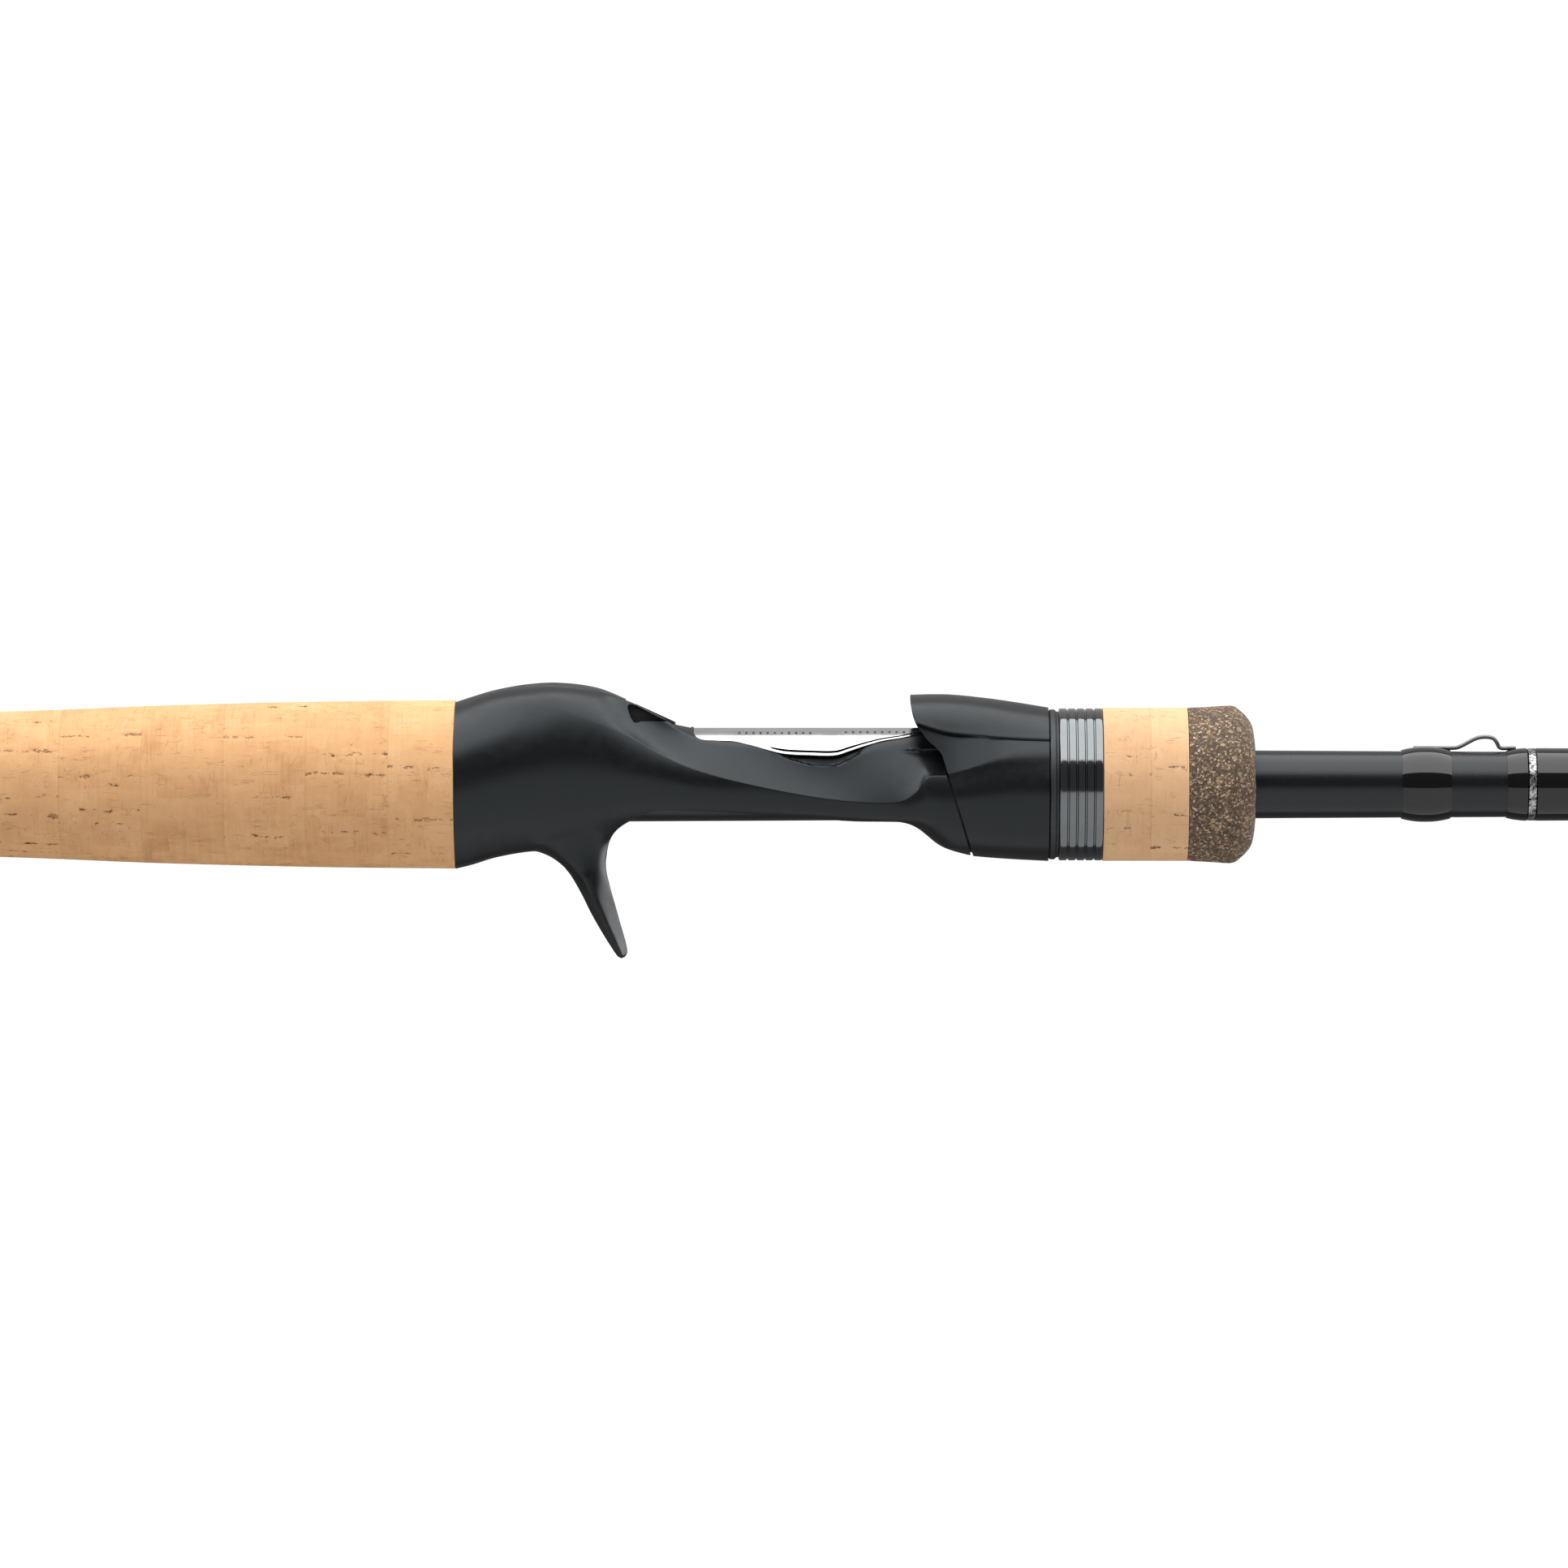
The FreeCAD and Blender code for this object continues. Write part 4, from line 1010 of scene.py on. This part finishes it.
def marks_tree():
    """Small raised bars spaced along a line, their lengths varied."""
    g = Recipe("spaced_bars", Pitch="Float", Lean="Float", Seed="Int")
    spaced = g.node("GeometryNodeResampleCurve", {"mode": "LENGTH"}, Curve=g["Geometry"],
                    Length=g["Pitch"])
    bar = g.node("GeometryNodeMeshCube", Size=tuple(side * MM for side in MARK_SIZE))
    size = g.node("FunctionNodeRandomValue", {"data_type": "FLOAT"}, 1, i2=0.4, i3=1.0,
                  Seed=g["Seed"])
    turn = g.node("ShaderNodeCombineXYZ", X=g["Lean"])
    scale = g.node("ShaderNodeCombineXYZ", X=1.0, Y=size, Z=1.0)
    rows = g.node("GeometryNodeInstanceOnPoints", Points=spaced, Instance=bar, Rotation=turn,
                  Scale=scale)
    return g.close(rows)


def plate_marks(name, x0, x1, angle, seed):
    """One row of bars along the plate, at an angle up from its side."""
    y, z = -SADDLE_R * math.cos(angle) * MM, SADDLE_R * math.sin(angle) * MM
    row = straight_runs([((SEAT + x) * MM, y, z) for x in (x0, x1)])
    mesh = run_tree(row, MARKS, Pitch=MARK_PITCH * MM, Lean=math.pi / 2 - angle, Seed=seed,
                    Finish=mark_fill)
    return settle(name, mesh, mark_fill, "rod", [], 30.0)


MARKS = marks_tree()
plate_marks("plate_marks_rear", 44.0, 55.0, math.radians(65), 3)
plate_marks("plate_marks_front", 60.5, 69.5, math.radians(67), 5)

dressed("pocket_liner", "rear_pocket_liner", liner_resin)
dressed("rear_arbor", "rear_arbor_foam", arbor_foam)
dressed("front_arbor", "front_arbor_foam", arbor_foam)

# ---- sliding hood
# along seat, top, shoulder y z, widest of dome y z, upper crease y z, lower crease y z,
# side y z, lower side y z, bottom
HOOD = [
    (69.0, 13.9, 6.0, 12.9, 8.5, 11.3, 9.3, 10.3, 10.5, 0.6, 10.9, -3.6, 6.2, -8.4, -9.9),
    (76.0, 14.0, 5.9, 12.8, 8.5, 10.7, 9.7, 8.1, 10.8, 1.5, 11.2, -3.0, 6.6, -8.9, -10.7),
    (82.0, 13.45, 5.7, 12.2, 8.3, 10.1, 9.7, 7.5, 11.1, 3.1, 11.4, -2.6, 6.9, -9.3, -11.3),
    (87.0, 12.75, 5.4, 11.4, 8.1, 9.4, 9.65, 7.2, 11.1, 4.3, 11.6, -2.0, 7.2, -9.4, -11.65),
    (91.9, 11.95, 5.0, 10.8, 7.8, 8.9, 9.65, 7.05, 10.95, 4.8, 11.8, -1.8, 7.4, -9.35, -11.9),
]
HOOD_BORE_R = 8.35
HOOD_FLAT = 7.2
COUNTERBORE_START, COUNTERBORE_R = 88.0, 10.5
SLIT = 0.25
PLATE_CLEARANCE = 0.35
HOOD_REAR_EDGE = [
    (70.6, 15.0), (70.5, 13.4), (70.7, 12.0), (71.0, 10.6), (71.5, 9.3), (72.2, 8.1), (73.2, 6.75),
    (74.5, 5.6), (75.3, 4.6), (75.7, 3.4), (76.3, 1.5), (80.25, -11.0), (81.3, -14.5),
]


def hood_half(x):
    """Half section of the hood, with its two side creases softening toward the front."""
    row = faired(HOOD, x)
    top, bottom = (0.0, row[0]), (0.0, row[-1])
    shoulder, dome, upper, lower, side, low = zip(row[1:13:2], row[2:13:2])
    dome_line = smooth_chain([(-shoulder[0], shoulder[1]), top, shoulder, dome, upper], 80)
    dome_line = resampled([top] + [p for p in dome_line if p[0] > 0.1], 36)
    tuck = 1.0 - ease((x - 77.0) / 7.0)
    inner = (upper[0] - 0.75 * tuck, upper[1] - 0.45)
    tucked = resampled([upper, inner], 4)
    panel = resampled([inner, lower], 16)
    skirt = smooth_chain([lower, side, low, bottom, (-low[0], low[1])], 80)
    skirt = resampled([p for p in skirt if p[0] > 0.1] + [bottom], 40)
    fade = ease((x - 79.0) / 11.0)
    upper_half = rolled_edge(dome_line, tucked, 0.15 + 0.2 * fade)[:-1]
    return upper_half + rolled_edge(panel, skirt, 0.12 + 1.2 * fade)


hood = skinned([seat_section(x, hood_half(x)) for x in steps(69.0, 91.75, 76) + [91.9]])
bore = combined(round_bar(60, 95, HOOD_BORE_R), ("INTERSECT", flat_sided(60, 100, HOOD_FLAT)))
cavity = combined(prism([(66, 6), (66, 13.4), (86, 11.2), (86, 6)], 7.6),
                  ("INTERSECT", round_bar(60, 100, 8.7, height=4.0)))
behind = smooth_chain(HOOD_REAR_EDGE, 160) + [(60, -14.5), (60, 15)]
hood = cut(hood, prism(behind, 16), bore, slit_lip(SLIT),
           round_bar(60, 77.0, SADDLE_R + PLATE_CLEARANCE), cavity,
           round_bar(COUNTERBORE_START, 95, COUNTERBORE_R))
settle("sliding_hood", hood, seat_resin, "hood", ["hood"], 26.0)

# ---- lock nut and fore grip
THRUST_RING = (91.9, 93.1)
LOCK_RING = (93.5, 100.3)
RIBS = 5
LOCK_R = 11.8
LOCK_GROOVE = 0.2
SLEEVE_R = 9.7
SLEEVE_BORE_R = 8.3
FORE_CORK_END = 113.5
FORE_CORK_R = 11.9
BURL_END = 123.9

a, b = (SEAT + x for x in THRUST_RING)
ring = [(a, 9.3), (a, 11.3), (a + 0.12, 11.52), (a + 0.35, 11.65), (b - 0.35, 11.65),
        (b - 0.12, 11.52), (b, 11.35), (b + 0.33, 11.3), (b + 0.33, 9.95), (b, 9.95), (b, 9.3)]
turned("thrust_washer", ring, thrust_metal, "hood", ["thrust_ring"], 160)

a, b = (SEAT + x for x in LOCK_RING)
pitch = (b - a) / RIBS
ribbed = [(a, SLEEVE_R), (a, LOCK_R - 0.25), (a + 0.08, LOCK_R - 0.06)]
for rib in range(RIBS):
    ribbed += [(a + (rib + t) * pitch, LOCK_R) for t in (0.16, 0.5, 0.84)]
    if rib < RIBS - 1:
        ribbed += [(a + (rib + 1 + 0.15 * math.sin(u)) * pitch,
                    LOCK_R - LOCK_GROOVE * math.cos(u)**2) for u in steps(-1.4, 1.4, 10)]
ribbed += [(b - 0.08, LOCK_R - 0.06), (b, LOCK_R - 0.25), (b, SLEEVE_R)]
turned("ribbed_lock_ring", ribbed, lock_metal, "lock_nut", ["lock_ring"],
       192, sharp=50.0)

sleeve = [(88.4, SLEEVE_BORE_R), (88.4, 10.1), (90.6, 10.1), (90.6, 8.9), (93.5, 8.9),
          (93.5, SLEEVE_R), (113.4, SLEEVE_R), (113.4, SLEEVE_BORE_R)]
turned("threaded_nut_sleeve", [(SEAT + x, r) for x, r in sleeve], nut_resin, "lock_nut",
       ["nut_sleeve"])

a, b = SEAT + LOCK_RING[1], SEAT + FORE_CORK_END
cork = [(a, SLEEVE_R), (a, FORE_CORK_R - 0.1)]
cork += [(x, FORE_CORK_R) for x in steps(a + 0.1, b - 0.05, 44)] + [(b, SLEEVE_R)]
turned("fore_cork_grip", cork, fore_cork, "lock_nut", ["fore_cork_rings"], 288,
       after=(PITTED, {"Joint": FORE_JOINT, "Depth": 0.14}))

NOSE = [(0.0, FORE_CORK_R), (3.0, 12.05), (6.2, 12.25), (7.0, 12.2), (7.6, 11.95), (8.4, 11.3),
        (9.2, 10.5), (9.8, 9.65), (10.15, 8.7), (10.4, 7.2)]
a, b = SEAT + FORE_CORK_END, SEAT + BURL_END
burl = [(a, 5.65), (a, 11.86)] + [(a + x, faired(NOSE, x)[0]) for x in steps(0.1, 10.4, 52)]
burl += [(b, 6.1), (b - 0.35, 5.65)]
turned("fore_composite_grip", burl, composite, "lock_nut", ["fore_burl"], 288,
       after=(GRANULAR, {"Depth": 0.05}))

# ---- windings and hook keeper
REAR_WRAP = (SEAT + 146.7, SEAT + 154.3)
FRONT_WRAP = (SEAT + 163.0, SEAT + 185.0)
BAND_GROOVE = (SEAT + 166.2, SEAT + 167.6)
BAND_SEAT_R = 5.36
BAND_R = 5.5
WRAP_END_SLOPE = 3.4
KEEPER_WIRE_R = 0.31


def winding(name, start, end, rise, replaced, groove=None):
    """Clear-coated winding on the blank, with blunt ends and a crowned middle."""
    slope = min(WRAP_END_SLOPE, 0.45 * (end - start))
    line = [(start, blank_r(start) - 0.02)]
    for x in steps(start, end, 100):
        t = min(x - start, end - x) / slope
        lift = rise * (0.26 + 0.74 * (1.0 if t >= 1 else math.sin(0.5 * math.pi * t)**0.85))
        r = blank_r(x) + lift
        if groove and groove[0] < x < groove[1]:
            r = min(r, BAND_SEAT_R)
        line.append((x, r))
    line += [(end, blank_r(end) - 0.02)]
    return turned(name, line, winding_coat, "rod", replaced, sharp=50.0)


winding("keeper_rear_winding", *REAR_WRAP, 0.68, ["keeper_rear_wrap"])
winding("keeper_front_winding", *FRONT_WRAP, 0.6, ["keeper_front_wrap"], BAND_GROOVE)
band = run_tree(bpy.data.meshes.new("empty"), WINDING, Start=(BAND_GROOVE[0] + 0.15) * MM,
                Length=1.1 * MM, Radius=BAND_R * MM, Turns=5.0, Thread=0.14 * MM,
                Finish=silver_yarn)
settle("silver_band", face_outward(band), silver_yarn, "rod", ["trim_band"],
       70.0)
KEEPER = [(148.6, 5.67), (151.5, 5.66), (154.4, 5.64), (155.3, 5.7), (156.1, 6.0), (158.1, 7.04),
          (159.1, 7.32), (160.3, 7.33), (161.1, 7.08), (161.55, 6.5), (161.9, 5.82), (162.3, 5.62),
          (163.3, 5.62), (164.5, 5.62)]
route = [((SEAT + x) * MM, 0.0, z * MM) for x, z in smooth_chain(KEEPER, 140)]
wire = run_tree(straight_runs(route), SWEPT, Radius=KEEPER_WIRE_R * MM, Finish=wire_metal)
settle("hook_keeper_wire", face_outward(wire), wire_metal, "rod", ["hook_keeper"],
       60.0)

# ---- guides and tip-top
for number in range(1, 9):
    stem = "guide_%d_" % number
    dressed(stem + "frame", stem + "frame_wire", guide_metal, 40.0)
    dressed(stem + "ring", stem + "ceramic", ceramic, 40.0)
    dressed(stem + "wrap", stem + "winding", winding_coat, 50.0)
dressed("tip_frame", "tip_top_frame", guide_metal, 40.0)
dressed("tip_ring", "tip_top_ceramic", ceramic, 40.0)
dressed("tip_wrap", "tip_winding", winding_coat, 50.0)

# ---- floor, light, camera
# places and sizes of floor, lights and camera are in metres
FLOOR_Z = -0.22
FLOOR_X = (-1.4, 3.4)
FLOOR_Y = (-1.1, 0.07)
corners = [(FLOOR_X[i], FLOOR_Y[j], FLOOR_Z) for i, j in ((0, 0), (1, 0), (1, 1), (0, 1))]
floor_mesh = bpy.data.meshes.new("floor")
floor_mesh.from_pydata(corners, [], [(0, 1, 2, 3)])
pale = Finish("pale_floor", Roughness=0.9)
pale.colour(pale.mix(pale.noise(0.01, 2.0), (0.5, 0.5, 0.5), (0.54, 0.54, 0.54)))
floor_mesh.materials.append(pale.material)
scene_object("floor", floor_mesh)


def softbox(name, place, aim, size_x, size_y, radiance):
    """Soft panel of light that the camera doesn't see."""
    data = bpy.data.lights.new(name, "AREA")
    data.shape = "RECTANGLE"
    data.size = size_x
    data.size_y = size_y
    data.energy = radiance * math.pi * size_x * size_y
    obj = scene_object(name, data)
    obj.location = place
    obj.rotation_euler = (Vector(aim) - Vector(place)).to_track_quat("-Z", "Y").to_euler()
    obj.visible_camera = False


softbox("overhead_softbox", (0.4, -0.45, 1.15), (0.4, -0.45, 0.0), 3.6, 2.15, 3.1)
softbox("rear_panel", (0.4, 1.2, 0.95), (0.4, 0.0, 0.95), 3.6, 1.9, 0.38)
softbox("side_panel", (1.6, 0.95, 0.0), (0.26, 0.0, 0.0), 1.3, 1.2, 2.2)

world = bpy.data.worlds.new("studio")
bpy.context.scene.world = world
world.use_nodes = True
world.node_tree.nodes.clear()
room = Graph(world.node_tree)
fill = room.node("ShaderNodeBackground", Color=(1.0, 1.0, 1.0), Strength=0.13)
paper = room.node("ShaderNodeBackground", Color=(1.0, 1.0, 1.0), Strength=1.05)
seen = room.node("ShaderNodeLightPath", None, "Is Camera Ray")
shown = room.node("ShaderNodeMixShader", i0=seen, i1=fill, i2=paper)
world_out = room.add("ShaderNodeOutputWorld")
room.feed(world_out.inputs["Surface"], shown)

VIEW_WIDTH = 0.2434
VIEW_DISTANCE = 1.64
AXIS_X = 0.2902
CENTRE_X = 0.2809
CAMERA_Z = 0.00006
camera_data = bpy.data.cameras.new("camera")
camera_data.sensor_width = 36.0
camera_data.lens = camera_data.sensor_width * VIEW_DISTANCE / VIEW_WIDTH
camera_data.shift_x = (CENTRE_X - AXIS_X) / VIEW_WIDTH
camera_data.clip_start = 0.05
camera_data.clip_end = 60.0
camera = scene_object("camera", camera_data)
camera.location = (AXIS_X, -VIEW_DISTANCE, CAMERA_Z)
camera.rotation_euler = (math.pi / 2, 0.0, 0.0)
bpy.context.scene.camera = camera
bpy.context.scene.view_settings.view_transform = "Standard"
